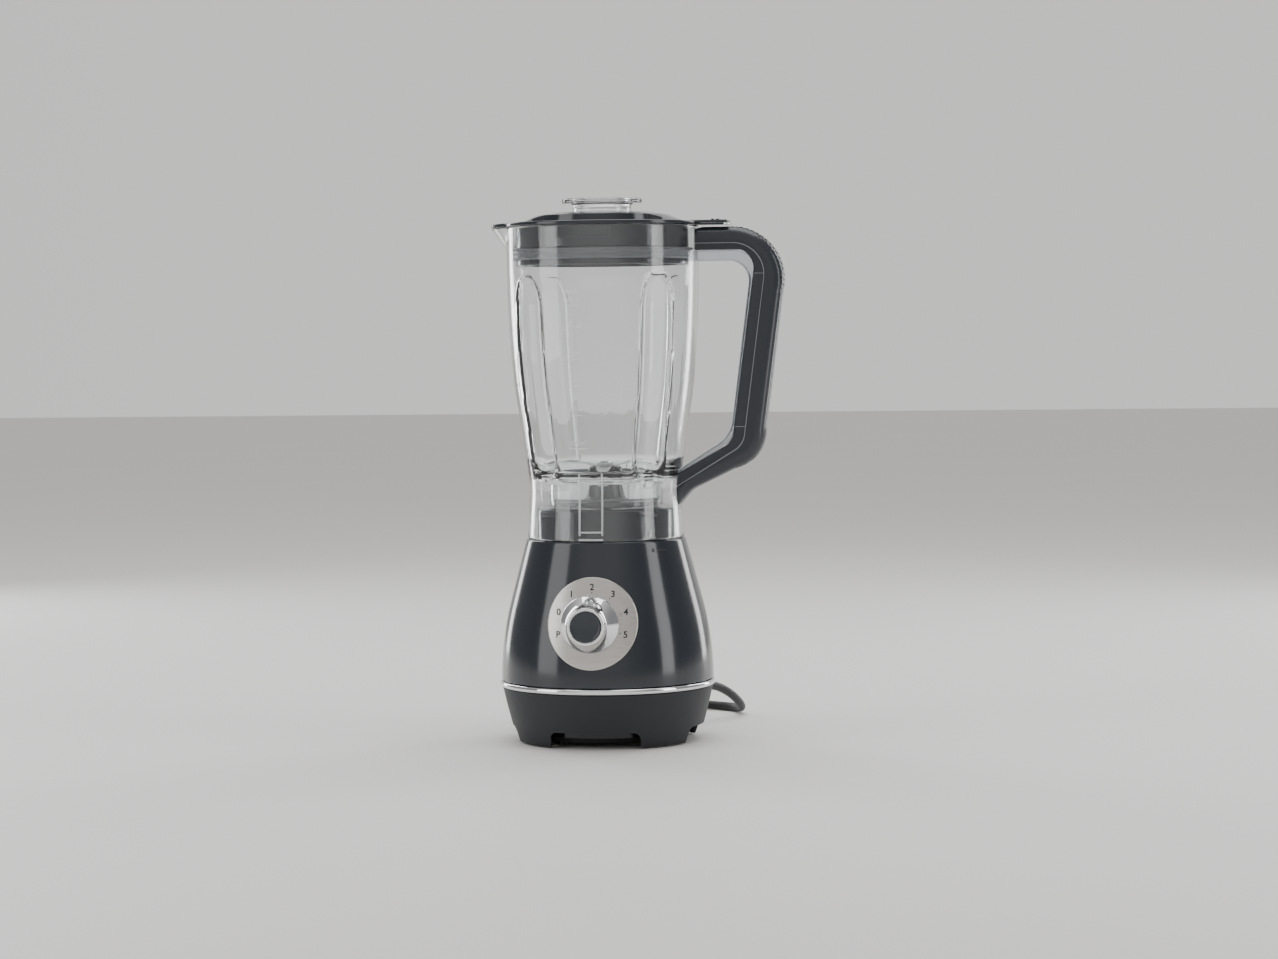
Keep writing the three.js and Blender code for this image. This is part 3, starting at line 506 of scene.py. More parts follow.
def smooth_height(stations: list[Point2], height: float) -> float:
    """Radius at a height, on a smooth line through stations of (radius, height) sorted by height.

    Args:
        stations: The points that the line passes through.
        height: Where to read it.

    Returns:
        The radius.
    """
    last = len(stations) - 1
    index = 0
    while index < last - 1 and height > stations[index + 1][1]:
        index += 1

    def slope(at: int) -> float:
        """Slope of the line at a station."""
        before, after = stations[max(at - 1, 0)], stations[min(at + 1, last)]
        return (after[0] - before[0]) / (after[1] - before[1])

    (r0, z0), (r1, z1) = stations[index], stations[index + 1]
    span = z1 - z0
    t = (height - z0) / span
    return ((2 * t ** 3 - 3 * t ** 2 + 1) * r0 + (t ** 3 - 2 * t ** 2 + t) * span * slope(index)
            + (3 * t ** 2 - 2 * t ** 3) * r1 + (t ** 3 - t ** 2) * span * slope(index + 1))


def steps_between(low: float, high: float, count: int) -> list[float]:
    """Evenly spaced numbers from low to high, both included."""
    return [low + (high - low) * step / count for step in range(count + 1)]


# ------------------------------------------------------------------ meshes
def turned(profile: list[Point2], steps: int = 128, closed: bool = False) -> bmesh.types.BMesh:
    """Turns a profile of (radius, height) points about Z.

    Args:
        profile: The profile, from the axis to the axis unless it is closed.
        steps: Facets round.
        closed: Whether the profile closes on itself.

    Returns:
        The new bmesh, in millimetres.
    """
    bm = bmesh.new()
    verts = [bm.verts.new((radius, 0.0, height)) for radius, height in profile]
    edges = [bm.edges.new(pair) for pair in zip(verts, verts[1:])]
    if closed:
        edges.append(bm.edges.new((verts[-1], verts[0])))
    bmesh.ops.spin(bm, geom=verts + edges, cent=(0, 0, 0), axis=(0, 0, 1), angle=2 * math.pi, steps=steps,
                   use_merge=True, use_duplicate=False)
    bmesh.ops.remove_doubles(bm, verts=bm.verts, dist=0.0005)
    bmesh.ops.recalc_face_normals(bm, faces=bm.faces)
    return bm


def slab(front: list[Point2], back: list[Point2], width: float, front_bevel: float, back_bevel: float,
         segments: int = 5) -> bmesh.types.BMesh:
    """A flat band drawn in X and Z, given a width along Y and eased edges.

    Args:
        front: One long side of the band.
        back: The other side, in the same direction.
        width: The size along Y.
        front_bevel: Rounding of the edges along the front side.
        back_bevel: Rounding of the edges along the back side.
        segments: Segments of each rounding.

    Returns:
        The new bmesh, in millimetres.
    """
    bm = bmesh.new()
    verts, others = ([bm.verts.new((x, -width / 2, z)) for x, z in line] for line in (front, back))
    paired = len(verts) == len(others)
    if paired:
        for index in range(len(verts) - 1):
            bm.faces.new((verts[index], verts[index + 1], others[index + 1], others[index]))
    else:
        bm.faces.new([*verts, *reversed(others)])
    grown = bmesh.ops.extrude_face_region(bm, geom=bm.faces[:])
    bmesh.ops.translate(bm, verts=[g for g in grown["geom"] if isinstance(g, bmesh.types.BMVert)],
                        vec=(0, width, 0))
    bmesh.ops.recalc_face_normals(bm, faces=bm.faces)
    front_places = {(round(x, 4), round(z, 4)) for x, z in front}

    def on_front(vert: bmesh.types.BMVert) -> bool:
        """Whether a vertex lies on the front side."""
        return (round(vert.co.x, 4), round(vert.co.z, 4)) in front_places

    def rims(wanted: bool) -> list[bmesh.types.BMEdge]:
        """The cap edges along the front side, or all others."""
        found = []
        for edge in bm.edges:
            level = all(abs(abs(vert.co.y) - width / 2) < 1e-4 for vert in edge.verts)
            beside = [face for face in edge.link_faces if abs(face.normal.y) < 0.5]
            if level and beside and len(edge.link_faces) == 2 and all(on_front(v) for v in edge.verts) == wanted:
                found.append(edge)
        return found

    back_rims = rims(False)
    if front_bevel > 0:
        bmesh.ops.bevel(bm, geom=rims(True), offset=front_bevel, offset_type="OFFSET", segments=segments,
                        profile=0.5, affect="EDGES", clamp_overlap=not paired, material=-1)
    back_rims = [edge for edge in back_rims if edge.is_valid]
    if back_bevel > 0 and back_rims:
        bmesh.ops.bevel(bm, geom=back_rims, offset=back_bevel, offset_type="OFFSET", segments=3, profile=0.5,
                        affect="EDGES", clamp_overlap=True, material=-1)
    bmesh.ops.recalc_face_normals(bm, faces=bm.faces)
    return bm


def cuboid(low: Point3, high: Point3, bevel: float, segments: int = 3) -> bmesh.types.BMesh:
    """A box between two corners with rounded edges.

    Args:
        low: Lowest corner.
        high: Highest corner.
        bevel: Rounding radius.
        segments: Segments of the rounding.

    Returns:
        The new bmesh, in millimetres.
    """
    bm = bmesh.new()
    bmesh.ops.create_cube(bm, size=1.0)
    size = Vector(high) - Vector(low)
    middle = (Vector(high) + Vector(low)) / 2
    bmesh.ops.scale(bm, verts=bm.verts, vec=size)
    bmesh.ops.translate(bm, verts=bm.verts, vec=middle)
    if bevel > 0:
        bmesh.ops.bevel(bm, geom=bm.edges[:], offset=bevel, offset_type="OFFSET", segments=segments, profile=0.5,
                        affect="EDGES", clamp_overlap=True, material=-1)
    return bm


def turn(bm: bmesh.types.BMesh, degrees: float, axis: str = "Z") -> bmesh.types.BMesh:
    """Turns a bmesh about an axis through the origin and returns it."""
    bmesh.ops.rotate(bm, verts=bm.verts, matrix=Matrix.Rotation(math.radians(degrees), 3, axis))
    return bm


def shift(bm: bmesh.types.BMesh, x: float = 0.0, y: float = 0.0, z: float = 0.0) -> bmesh.types.BMesh:
    """Moves a bmesh and returns it."""
    bmesh.ops.translate(bm, verts=bm.verts, vec=(x, y, z))
    return bm


def merged(*parts: bmesh.types.BMesh) -> bmesh.types.BMesh:
    """Joins several bmeshes into one, side by side."""
    result = parts[0]
    for other in parts[1:]:
        carrier = bpy.data.meshes.new("carrier")
        other.to_mesh(carrier)
        result.from_mesh(carrier)
        bpy.data.meshes.remove(carrier)
        other.free()
    return result


def carved(bm: bmesh.types.BMesh, cutters: list[bmesh.types.BMesh]) -> bmesh.types.BMesh:
    """Cuts shapes out of a closed bmesh.

    Args:
        bm: The shape to cut. It is freed.
        cutters: Closed shapes to take away. They are freed.

    Returns:
        The cut bmesh.
    """
    holders = []
    for index, shape in enumerate([bm, *cutters]):
        mesh = bpy.data.meshes.new(f"carving_{index}")
        shape.to_mesh(mesh)
        shape.free()
        holder = bpy.data.objects.new(f"carving_{index}", mesh)
        bpy.context.collection.objects.link(holder)
        holders.append(holder)
    for cutter in holders[1:]:
        modifier = holders[0].modifiers.new(cutter.name, "BOOLEAN")
        modifier.operation = "DIFFERENCE"
        modifier.solver = "EXACT"
        modifier.object = cutter
    cut_mesh = bpy.data.meshes.new_from_object(holders[0].evaluated_get(bpy.context.evaluated_depsgraph_get()))
    result = bmesh.new()
    result.from_mesh(cut_mesh)
    bpy.data.meshes.remove(cut_mesh)
    for holder in holders:
        mesh = holder.data
        bpy.data.objects.remove(holder)
        bpy.data.meshes.remove(mesh)
    return result


def piece(name: str, bm: bmesh.types.BMesh, finish: str, body: Body, stands_for: tuple[str, ...] = (),
          sharp: float = 32.0) -> bpy.types.Object:
    """Makes an object of a bmesh, places it in the row frame and lets it ride on its body.

    Args:
        name: The piece's name.
        bm: The shape in millimetres round the jug's axis. It is freed.
        finish: The name of its finish.
        body: The body that carries it.
        stands_for: CAD nodes that it replaces.
        sharp: Angle in degrees above which an edge stays crisp.

    Returns:
        The object.
    """
    bmesh.ops.transform(bm, matrix=TO_ROW, verts=bm.verts)
    mesh = bpy.data.meshes.new(name)
    bm.to_mesh(mesh)
    bm.free()
    mesh.shade_smooth()
    mesh.set_sharp_from_angle(angle=math.radians(sharp))
    obj = bpy.data.objects.new(name, mesh)
    bpy.context.collection.objects.link(obj)
    mesh.materials.append(FINISHES.get(finish))
    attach(obj, body.value)
    FINISHES.slot(finish)
    if stands_for:
        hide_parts(*stands_for)
    LOG.info("%s: %d faces on %s", name, len(mesh.polygons), body.value)
    return obj


def lettering(words: str, size: float, thick: float, weight: float = 0.0) -> bmesh.types.BMesh:
    """Flat printed characters in X and Y, centred on the origin, with their thickness along +Z.

    Args:
        words: The characters.
        size: Height of the type in millimetres.
        thick: Thickness of the print in millimetres.
        weight: How far the strokes are widened on each side, in millimetres.

    Returns:
        The new bmesh, in millimetres.
    """
    curve = bpy.data.curves.new("words", "FONT")
    curve.body = words
    curve.size = size
    curve.align_x = "CENTER"
    curve.align_y = "CENTER"
    curve.extrude = thick / 2
    curve.offset = weight
    holder = bpy.data.objects.new("words", curve)
    bpy.context.collection.objects.link(holder)
    mesh = bpy.data.meshes.new_from_object(holder)
    bm = bmesh.new()
    bm.from_mesh(mesh)
    bpy.data.meshes.remove(mesh)
    bpy.data.objects.remove(holder)
    bpy.data.curves.remove(curve)
    bmesh.ops.translate(bm, verts=bm.verts, vec=(0, 0, thick / 2))
    return bm


# ------------------------------------------------------------------ camera, floor and light
@dataclass
class Studio:
    """The camera, the pale floor and the soft lights."""

    distance: float = 2.432
    height: float = 0.315
    azimuth: float = 9.0
    yaw: float = -0.6
    pitch: float = -2.76
    roll: float = -0.7
    lens: float = 90.14
    bright: Point3 = (0.80, 0.79, 0.775)
    dim: Point3 = (0.26, 0.262, 0.265)

    def camera(self) -> None:
        """Makes the camera and sets it as the scene's."""
        data = bpy.data.cameras.new("camera")
        data.lens = self.lens
        data.sensor_width = 36.0
        data.clip_end = 30.0
        obj = bpy.data.objects.new("camera", data)
        bpy.context.collection.objects.link(obj)
        side = math.radians(self.azimuth)
        place = Vector((math.sin(side), -math.cos(side), 0)) * self.distance + AXIS
        place.z = self.height
        turned_round = Matrix.Rotation(math.radians(self.azimuth + self.yaw), 4, "Z")
        tipped = Matrix.Rotation(math.radians(90 + self.pitch), 4, "X")
        rolled = Matrix.Rotation(math.radians(self.roll), 4, "Z")
        obj.matrix_world = Matrix.Translation(place) @ turned_round @ tipped @ rolled
        bpy.context.scene.camera = obj

    @staticmethod
    def floor() -> None:
        """Makes the pale floor."""
        bm = bmesh.new()
        bmesh.ops.create_grid(bm, x_segments=1, y_segments=1, size=9.0)
        mesh = bpy.data.meshes.new("floor")
        bm.to_mesh(mesh)
        bm.free()
        obj = bpy.data.objects.new("floor", mesh)
        bpy.context.collection.objects.link(obj)
        material, kit, shader = _shader("Pale floor")
        cloud = kit.add("ShaderNodeTexNoise", Scale=3.0, Detail=3.0)
        place = kit.add("ShaderNodeTexCoord")
        mix = kit.add("ShaderNodeMix", data_type="RGBA")
        mix.inputs[6].default_value = (0.80, 0.79, 0.775, 1)
        mix.inputs[7].default_value = (0.77, 0.76, 0.75, 1)
        kit.link(place.outputs["Object"], cloud.inputs["Vector"])
        kit.link(cloud.outputs["Fac"], mix.inputs["Factor"])
        kit.link(mix.outputs[2], shader.inputs["Base Color"])
        shader.inputs["Roughness"].default_value = 0.6
        mesh.materials.append(material)

    @staticmethod
    def softbox(name: str, place: Point3, size: Point2, power: float, target: Point3) -> None:
        """Adds a rectangular light.

        Args:
            name: The light's name.
            place: Where it stands, in metres.
            size: Its width and height.
            power: Its power in watts.
            target: The point that it faces.
        """
        data = bpy.data.lights.new(name, "AREA")
        data.shape = "RECTANGLE"
        data.size, data.size_y = size
        data.energy = power
        obj = bpy.data.objects.new(name, data)
        obj.visible_camera = False
        bpy.context.collection.objects.link(obj)
        obj.location = place
        direction = Vector(target) - Vector(place)
        obj.rotation_euler = direction.to_track_quat("-Z", "Y").to_euler()

    def lights(self) -> None:
        """Sets the softboxes and the pale surroundings."""
        middle = (AXIS.x, AXIS.y, 0.22)
        self.softbox("left_window", (-1.7, -1.0, 0.7), (0.9, 1.5), 11.0, middle)
        self.softbox("right_window", (1.5, -0.35, 0.6), (0.45, 1.3), 7.0, middle)
        self.softbox("left_rim", (-1.2, 1.1, 0.6), (0.3, 1.4), 8.0, middle)
        self.softbox("right_rim", (1.0, 1.2, 0.6), (0.3, 1.4), 8.0, middle)
        self.softbox("top", (0.0, 0.3, 2.0), (1.8, 1.8), 26.0, middle)
        world = bpy.data.worlds.new("surroundings")
        world.use_nodes = True
        kit = NodeKit(world.node_tree)
        back = world.node_tree.nodes["Background"]
        heading = kit.add("ShaderNodeTexCoord")
        split = kit.add("ShaderNodeSeparateXYZ")
        sideways = kit.add("ShaderNodeMath", operation="ABSOLUTE")
        fade = kit.add("ShaderNodeMapRange", interpolation_type="SMOOTHSTEP")
        fade.inputs["From Min"].default_value = 0.25
        fade.inputs["From Max"].default_value = 0.95
        tint = kit.add("ShaderNodeMix", data_type="RGBA")
        tint.inputs[6].default_value = (*self.bright, 1)
        tint.inputs[7].default_value = (*self.dim, 1)
        kit.link(heading.outputs["Generated"], split.inputs["Vector"])
        kit.link(split.outputs["X"], sideways.inputs[0])
        kit.link(sideways.outputs[0], fade.inputs["Value"])
        kit.link(fade.outputs["Result"], tint.inputs["Factor"])
        kit.link(tint.outputs[2], back.inputs["Color"])
        bpy.context.scene.world = world

    def build(self) -> None:
        """Makes everything that isn't part of the appliance."""
        self.camera()
        self.floor()
        self.lights()


# ------------------------------------------------------------------ cord
@dataclass
class PowerCord:
    """The mains cord, from the strain relief to the plug behind the base."""

    radius: float = 3.4
    coil_centre: Point2 = (0.0, 150.0)
    inner_turn: float = 34.0
    outer_turn: float = 41.0
    low_layer: float = 4.8
    high_layer: float = 11.6
    exit_angle: float = 30.0
    exit_height: float = 30.0
    relief_start: float = 79.8
    relief_length: float = 36.0
    route: list[Point3] = field(default_factory=lambda: [
        (58.1, 100.6, 30.0), (61.4, 106.3, 29.6), (66.0, 113.6, 28.2), (71.2, 121.2, 25.6), (76.2, 128.8, 21.6),
        (80.4, 136.6, 16.8), (83.2, 145.0, 11.8), (84.2, 153.6, 7.6), (83.0, 162.2, 4.9), (79.2, 170.2, 3.8),
        (73.2, 177.0, 3.6), (65.6, 182.4, 3.6), (57.0, 186.4, 3.8), (47.6, 189.2, 4.1), (37.5, 190.6, 4.4),
        (25.5, 191.0, 4.7), (12.0, 191.0, 4.8)])
    tail: list[Point3] = field(default_factory=lambda: [
        (-41.6, 139.0, 11.7), (-43.4, 127.0, 12.0), (-45.2, 121.0, 12.4), (-47.1, 115.2, 12.9), (-48.4, 111.4, 13.0)])
    plug_place: Point2 = (-49.0, 111.0)
    plug_heading: float = 254.0
    plug_size: Point3 = (38.0, 35.3, 26.0)
    inward_turn: Point2 = (400.0, 450.0)
    outward_turn: Point2 = (1100.0, 1150.0)
    climbing_turn: Point2 = (715.0, 775.0)

    def coil_points(self) -> list[Point3]:
        """The turns of the coil: two on the table, two on top of them."""
        points = []
        first, last, step = 90, 1270, 10
        for angle in range(first, last + step, step):
            inward = self._ease(angle, *self.inward_turn) - self._ease(angle, *self.outward_turn)
            climb = self._ease(angle, *self.climbing_turn)
            radius = self.outer_turn - (self.outer_turn - self.inner_turn) * inward
            height = self.low_layer + (self.high_layer - self.low_layer) * climb
            turned_to = math.radians(angle)
            points.append((self.coil_centre[0] + radius * math.cos(turned_to),
                           self.coil_centre[1] + radius * math.sin(turned_to), height))
        return points

    @staticmethod
    def _ease(value: float, low: float, high: float) -> float:
        """A smooth step from 0 at low to 1 at high."""
        t = min(1.0, max(0.0, (value - low) / (high - low)))
        return t * t * (3 - 2 * t)

    @staticmethod
    def _smooth(points: list[Point3], parts: int = 3) -> list[Vector]:
        """Extra points on the smooth line through the points given."""
        spots = [Vector(p) for p in points]
        result = []
        for index in range(len(spots) - 1):
            before = spots[max(index - 1, 0)]
            start, end = spots[index], spots[index + 1]
            after = spots[min(index + 2, len(spots) - 1)]
            for part in range(parts):
                t = part / parts
                result.append(0.5 * (2 * start + (end - before) * t
                                     + (2 * before - 5 * start + 4 * end - after) * t * t
                                     + (3 * start - before - 3 * end + after) * t ** 3))
        result.append(spots[-1])
        return result

    def cord(self) -> None:
        """Makes the cord as one round line."""
        line = [TO_ROW @ point for point in self._smooth([*self.route, *self.coil_points(), *self.tail])]
        curve = bpy.data.curves.new("power_lead", "CURVE")
        curve.dimensions = "3D"
        spline = curve.splines.new("POLY")
        spline.points.add(len(line) - 1)
        for place, point in zip(spline.points, line):
            place.co = (*point, 1.0)
        curve.bevel_depth = self.radius * MM
        curve.bevel_resolution = 5
        curve.use_fill_caps = True
        obj = bpy.data.objects.new("power_lead", curve)
        bpy.context.collection.objects.link(obj)
        curve.materials.append(FINISHES.get("rubber"))
        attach(obj, Body.BASE.value)
        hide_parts("power_cord", "cord_coil", "cord_tail")

    def strain_relief(self) -> bpy.types.Object:
        """Makes the tapered, ribbed sleeve where the cord leaves the base."""
        start, length = self.relief_start, self.relief_length
        profile: list[Corner] = [(0, 70), (5.2, 70), (5.2, start - 0.8), (7.6, start - 0.8, 0.4),
                                 (7.6, start + 2.6, 0.8)]
        ribs = 8
        for rib in range(ribs):
            along = start + 4.0 + (length - 6.0) * rib / ribs
            thick = 6.4 - 2.0 * rib / ribs
            profile += [(thick - 0.9, along, 0.2), (thick, along + 0.7, 0.3), (thick, along + 2.2, 0.3),
                        (thick - 0.9, along + 2.9, 0.2)]
        profile += [(4.4, start + length - 1.0, 0.3), (3.9, start + length), (0, start + length)]
        bm = turn(turn(turned(rounded(profile, steps=2), 40), -90, "X"), -self.exit_angle)
        return piece("cord_relief", shift(bm, z=self.exit_height), "rubber", Body.BASE, ("strain_relief",))

    def tie(self) -> bpy.types.Object:
        """Makes the strap round the coil."""
        outer = rounded([(28.4, 0.2, 3.5), (45.7, 0.2, 3.5), (45.7, 16.1, 3.5), (28.4, 16.1, 3.5)], closed=True)
        inner = rounded([(29.6, 1.2, 3.0), (44.6, 1.2, 3.0), (44.6, 15.1, 3.0), (29.6, 15.1, 3.0)], closed=True)
        bm = bmesh.new()
        rings = []
        for outline in (outer, inner):
            verts = [bm.verts.new((x, -5.0, z)) for x, z in outline]
            rings.append([bm.edges.new((verts[i], verts[(i + 1) % len(verts)])) for i in range(len(verts))])
        bmesh.ops.bridge_loops(bm, edges=rings[0] + rings[1])
        grown = bmesh.ops.extrude_face_region(bm, geom=bm.faces[:])
        bmesh.ops.translate(bm, verts=[g for g in grown["geom"] if isinstance(g, bmesh.types.BMVert)], vec=(0, 10, 0))
        bmesh.ops.recalc_face_normals(bm, faces=bm.faces)
        turn(bm, 20)
        shift(bm, *self.coil_centre)
        return piece("cord_strap", bm, "rubber", Body.BASE, ("cord_tie",))

    def plug(self) -> list[bpy.types.Object]:
        """Makes the moulded two-pin plug and its pins."""
        length, width, height = self.plug_size
        body = turned(rounded([(0, 0), (4.6, 0, 0.6), (5.6, 9, 4.0), (8.0, 13, 5.0), (17.6, 23, 4.0),
                               (17.6, length, 1.2), (0, length)], steps=4), 64)
        for vert in body.verts:
            flat = vert.co.z / length
            squeeze = 1.0 - (1.0 - height / width) * min(1.0, max(0.0, (flat - 0.25) / 0.35))
            vert.co.x *= squeeze
        turn(body, 90, "Y")
        grips = [shift(cuboid((0, -9, 0), (1.2, 9, 0.7), 0.25), 26.0 + 2.6 * index, 0, height / 2 - 0.4)
                 for index in range(4)]
        pins = []
        for side in (-9.5, 9.5):
            pin = turned(rounded([(0, length - 1), (2.0, length - 1), (2.0, length + 9), (2.38, length + 9.2),
                                  (2.38, length + 18.6, 1.2), (0, length + 18.6)], steps=4), 28)
            pins.append(shift(turn(pin, 90, "Y"), y=side))
        placed = []
        for bm in (merged(body, *grips), merged(*pins)):
            turn(bm, self.plug_heading)
            placed.append(shift(bm, *self.plug_place, height / 2 + 0.05))
        return [piece("plug_body", placed[0], "rubber", Body.BASE, ("plug",)),
                piece("plug_pins", placed[1], "chrome", Body.BASE)]

    def build(self) -> None:
        """Makes the cord and everything on it."""
        pieces = [self.strain_relief(), self.tie(), *self.plug()]
        self.cord()


# ------------------------------------------------------------------ motor base
@dataclass
class MotorBase:
    """The housings, the trim ring, the feet and the printed marks of the base."""

    wall: float = 2.5
    lower_low: float = 1.0
    lower_high: float = 42.0
    lower_radius_low: float = 69.3
    lower_radius_high: float = 80.2
    upper_low: float = 46.8
    upper_radius: float = 80.8
    upper_curve: float = 231.0
    straight_from: float = 106.0
    deck: float = 154.2
    deck_radius: float = 60.4
    notch_height: float = 12.8
    front_notch: float = 34.0
    side_notch: float = 29.6

    def lower_outer(self, height: float) -> float:
        """Outer radius of the lower housing at a height."""
        t = height / self.lower_high
        return self.lower_radius_low + (self.lower_radius_high - self.lower_radius_low) * t + 2.0 * t * (1 - t)

    def upper_outer(self, height: float) -> float:
        """Outer radius of the upper housing at a height: an arc below, a straight cone above."""
        if height <= self.straight_from:
            rise = height - self.upper_low
            return self.upper_radius - (self.upper_curve - math.sqrt(self.upper_curve ** 2 - rise ** 2))
        start = self.upper_outer(self.straight_from)
        t = (height - self.straight_from) / (self.deck - self.straight_from)
        return start + (self.deck_radius - start) * t

    def lower_housing(self) -> None:
        """Makes the matte skirt with its four arched openings."""
        low, high = self.lower_low, self.lower_high
        levels = steps_between(low, high, 14)
        outer = [(self.lower_outer(z), z) for z in levels]
        inner = [(self.lower_outer(z) - self.wall, z) for z in reversed(levels)]
        profile = [(outer[0][0] - 0.5, low), (outer[0][0], low + 0.5), *outer[1:-1], (outer[-1][0], high - 0.5),
                   (outer[-1][0] - 0.5, high), *inner]
        cutters = []
        for half, heading in ((self.front_notch, 0.0), (self.side_notch, 90.0)):
            arch = rounded([(half, -6.0), (half, self.notch_height, 5.0), (-half, self.notch_height, 5.0),
                            (-half, -6.0)], steps=6)
            cutters.append(turn(slab(arch, [], 200.0, 0.0, 0.0), heading))
        exit_hole = turn(turn(turned([(0, 60), (5.6, 60), (5.6, 95), (0, 95)], 32), -90, "X"), -30)
        cutters.append(shift(exit_hole, z=30.0))
        bm = carved(turned(profile, 256, closed=True), cutters)
        piece("base_skirt", bm, "matte_grey", Body.BASE, ("lower_housing",))

    def upper_housing(self) -> None:
        """Makes the glossy bell with its deck, raised collar and coupling well."""
        low, deck = self.upper_low, self.deck
        side = [(self.upper_outer(z), z) for z in steps_between(low + 0.8, deck - 2.0, 36)]
        deck_top: list[Corner] = [(self.upper_outer(deck - 2.0), deck - 2.0), (self.deck_radius, deck, 1.6),
                                  (52.0, deck, 1.5), (52.0, 177.0, 1.6), (24.0, 177.0, 1.4), (24.0, 163.0, 2.0),
                                  (7.0, 163.0, 0.6), (7.0, 160.5), (26.5, 160.5), (26.5, 174.0), (49.0, 174.0),
                                  (49.0, 151.2), (self.upper_outer(151.2) - 3.0, 151.2)]
        inside = [(self.upper_outer(z) - 3.0, z) for z in reversed(steps_between(low, 149.0, 14))]
        profile = [(self.upper_radius - 0.8, low), *side, *rounded(deck_top, steps=4)[1:], *inside]
        piece("bell_housing", turned(profile, 192, closed=True), "gloss_grey", Body.BASE, ("upper_housing",))
        ribs = []
        for index in range(4):
            ribs.append(turn(cuboid((50.5, -9, 172.0), (53.2, 9, 175.4), 0.8), 45 + 90 * index))
        piece("collar_lugs", merged(*ribs), "gloss_grey", Body.BASE)

    def trim_ring(self) -> None:
        """Makes the chrome ring between the housings."""
        profile = rounded([(77.6, 42.3, 0.3), (81.7, 42.3, 1.5), (81.9, 44.4, 1.0), (81.7, 46.5, 1.5),
                           (77.6, 46.5, 0.3)], closed=True, steps=5)
        piece("chrome_band", turned(profile, 256, closed=True), "chrome", Body.BASE, ("trim_ring",))

    def feet(self) -> None:
        """Makes the four rubber pads."""
        for index in range(4):
            low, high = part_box(f"foot_{index + 1}")
            centre = (Vector(low) + Vector(high)) / 2 - AXIS
            pad = turned(rounded([(0, 0.35), (5.6, 0.35), (6.2, 0.0, 0.3), (8.5, 0.0, 0.5), (8.5, 2.2, 0.3),
                                  (0, 2.2)], steps=4), 48)
            shift(pad, centre.x / MM, centre.y / MM)
            piece(f"foot_pad_{index + 1}", pad, "pale_rubber", Body.BASE, (f"foot_{index + 1}",))

    def on_bell(self, bm: bmesh.types.BMesh, angle: float, height: float, lift: float) -> bmesh.types.BMesh:
        """Wraps flat marks drawn in X and Y round the bell at an angle from the front."""
        for vert in bm.verts:
            z = height + vert.co.y
            radius = self.upper_outer(z) + lift + vert.co.z
            theta = math.radians(angle - 90.0) + vert.co.x / self.upper_outer(z)
            vert.co = Vector((radius * math.cos(theta), radius * math.sin(theta), z))
        return bm

    def lock_mark(self) -> None:
        """Makes the small printed padlock and its pointer line."""
        lock = cuboid((-1.1, -1.0, 0.0), (1.1, 0.7, 0.12), 0.0)
        shackle = [cuboid((-0.8, 0.7, 0.0), (-0.45, 1.7, 0.12), 0.0),
                   cuboid((-0.8, 1.5, 0.0), (0.7, 1.85, 0.12), 0.0),
                   cuboid((0.4, 1.0, 0.0), (0.7, 1.6, 0.12), 0.0)]
        line = cuboid((3.6, -0.28, 0.0), (12.0, 0.28, 0.12), 0.0)
        bmesh.ops.subdivide_edges(line, edges=line.edges, cuts=5, use_grid_fill=True)
        marks = merged(lock, *shackle, line)
        piece("lock_print", self.on_bell(marks, 43.0, 147.2, 0.02), "ink", Body.BASE)

    def build(self) -> None:
        """Makes every piece of the base."""
        self.lower_housing()
        self.upper_housing()
        self.trim_ring()
        self.feet()
        self.lock_mark()


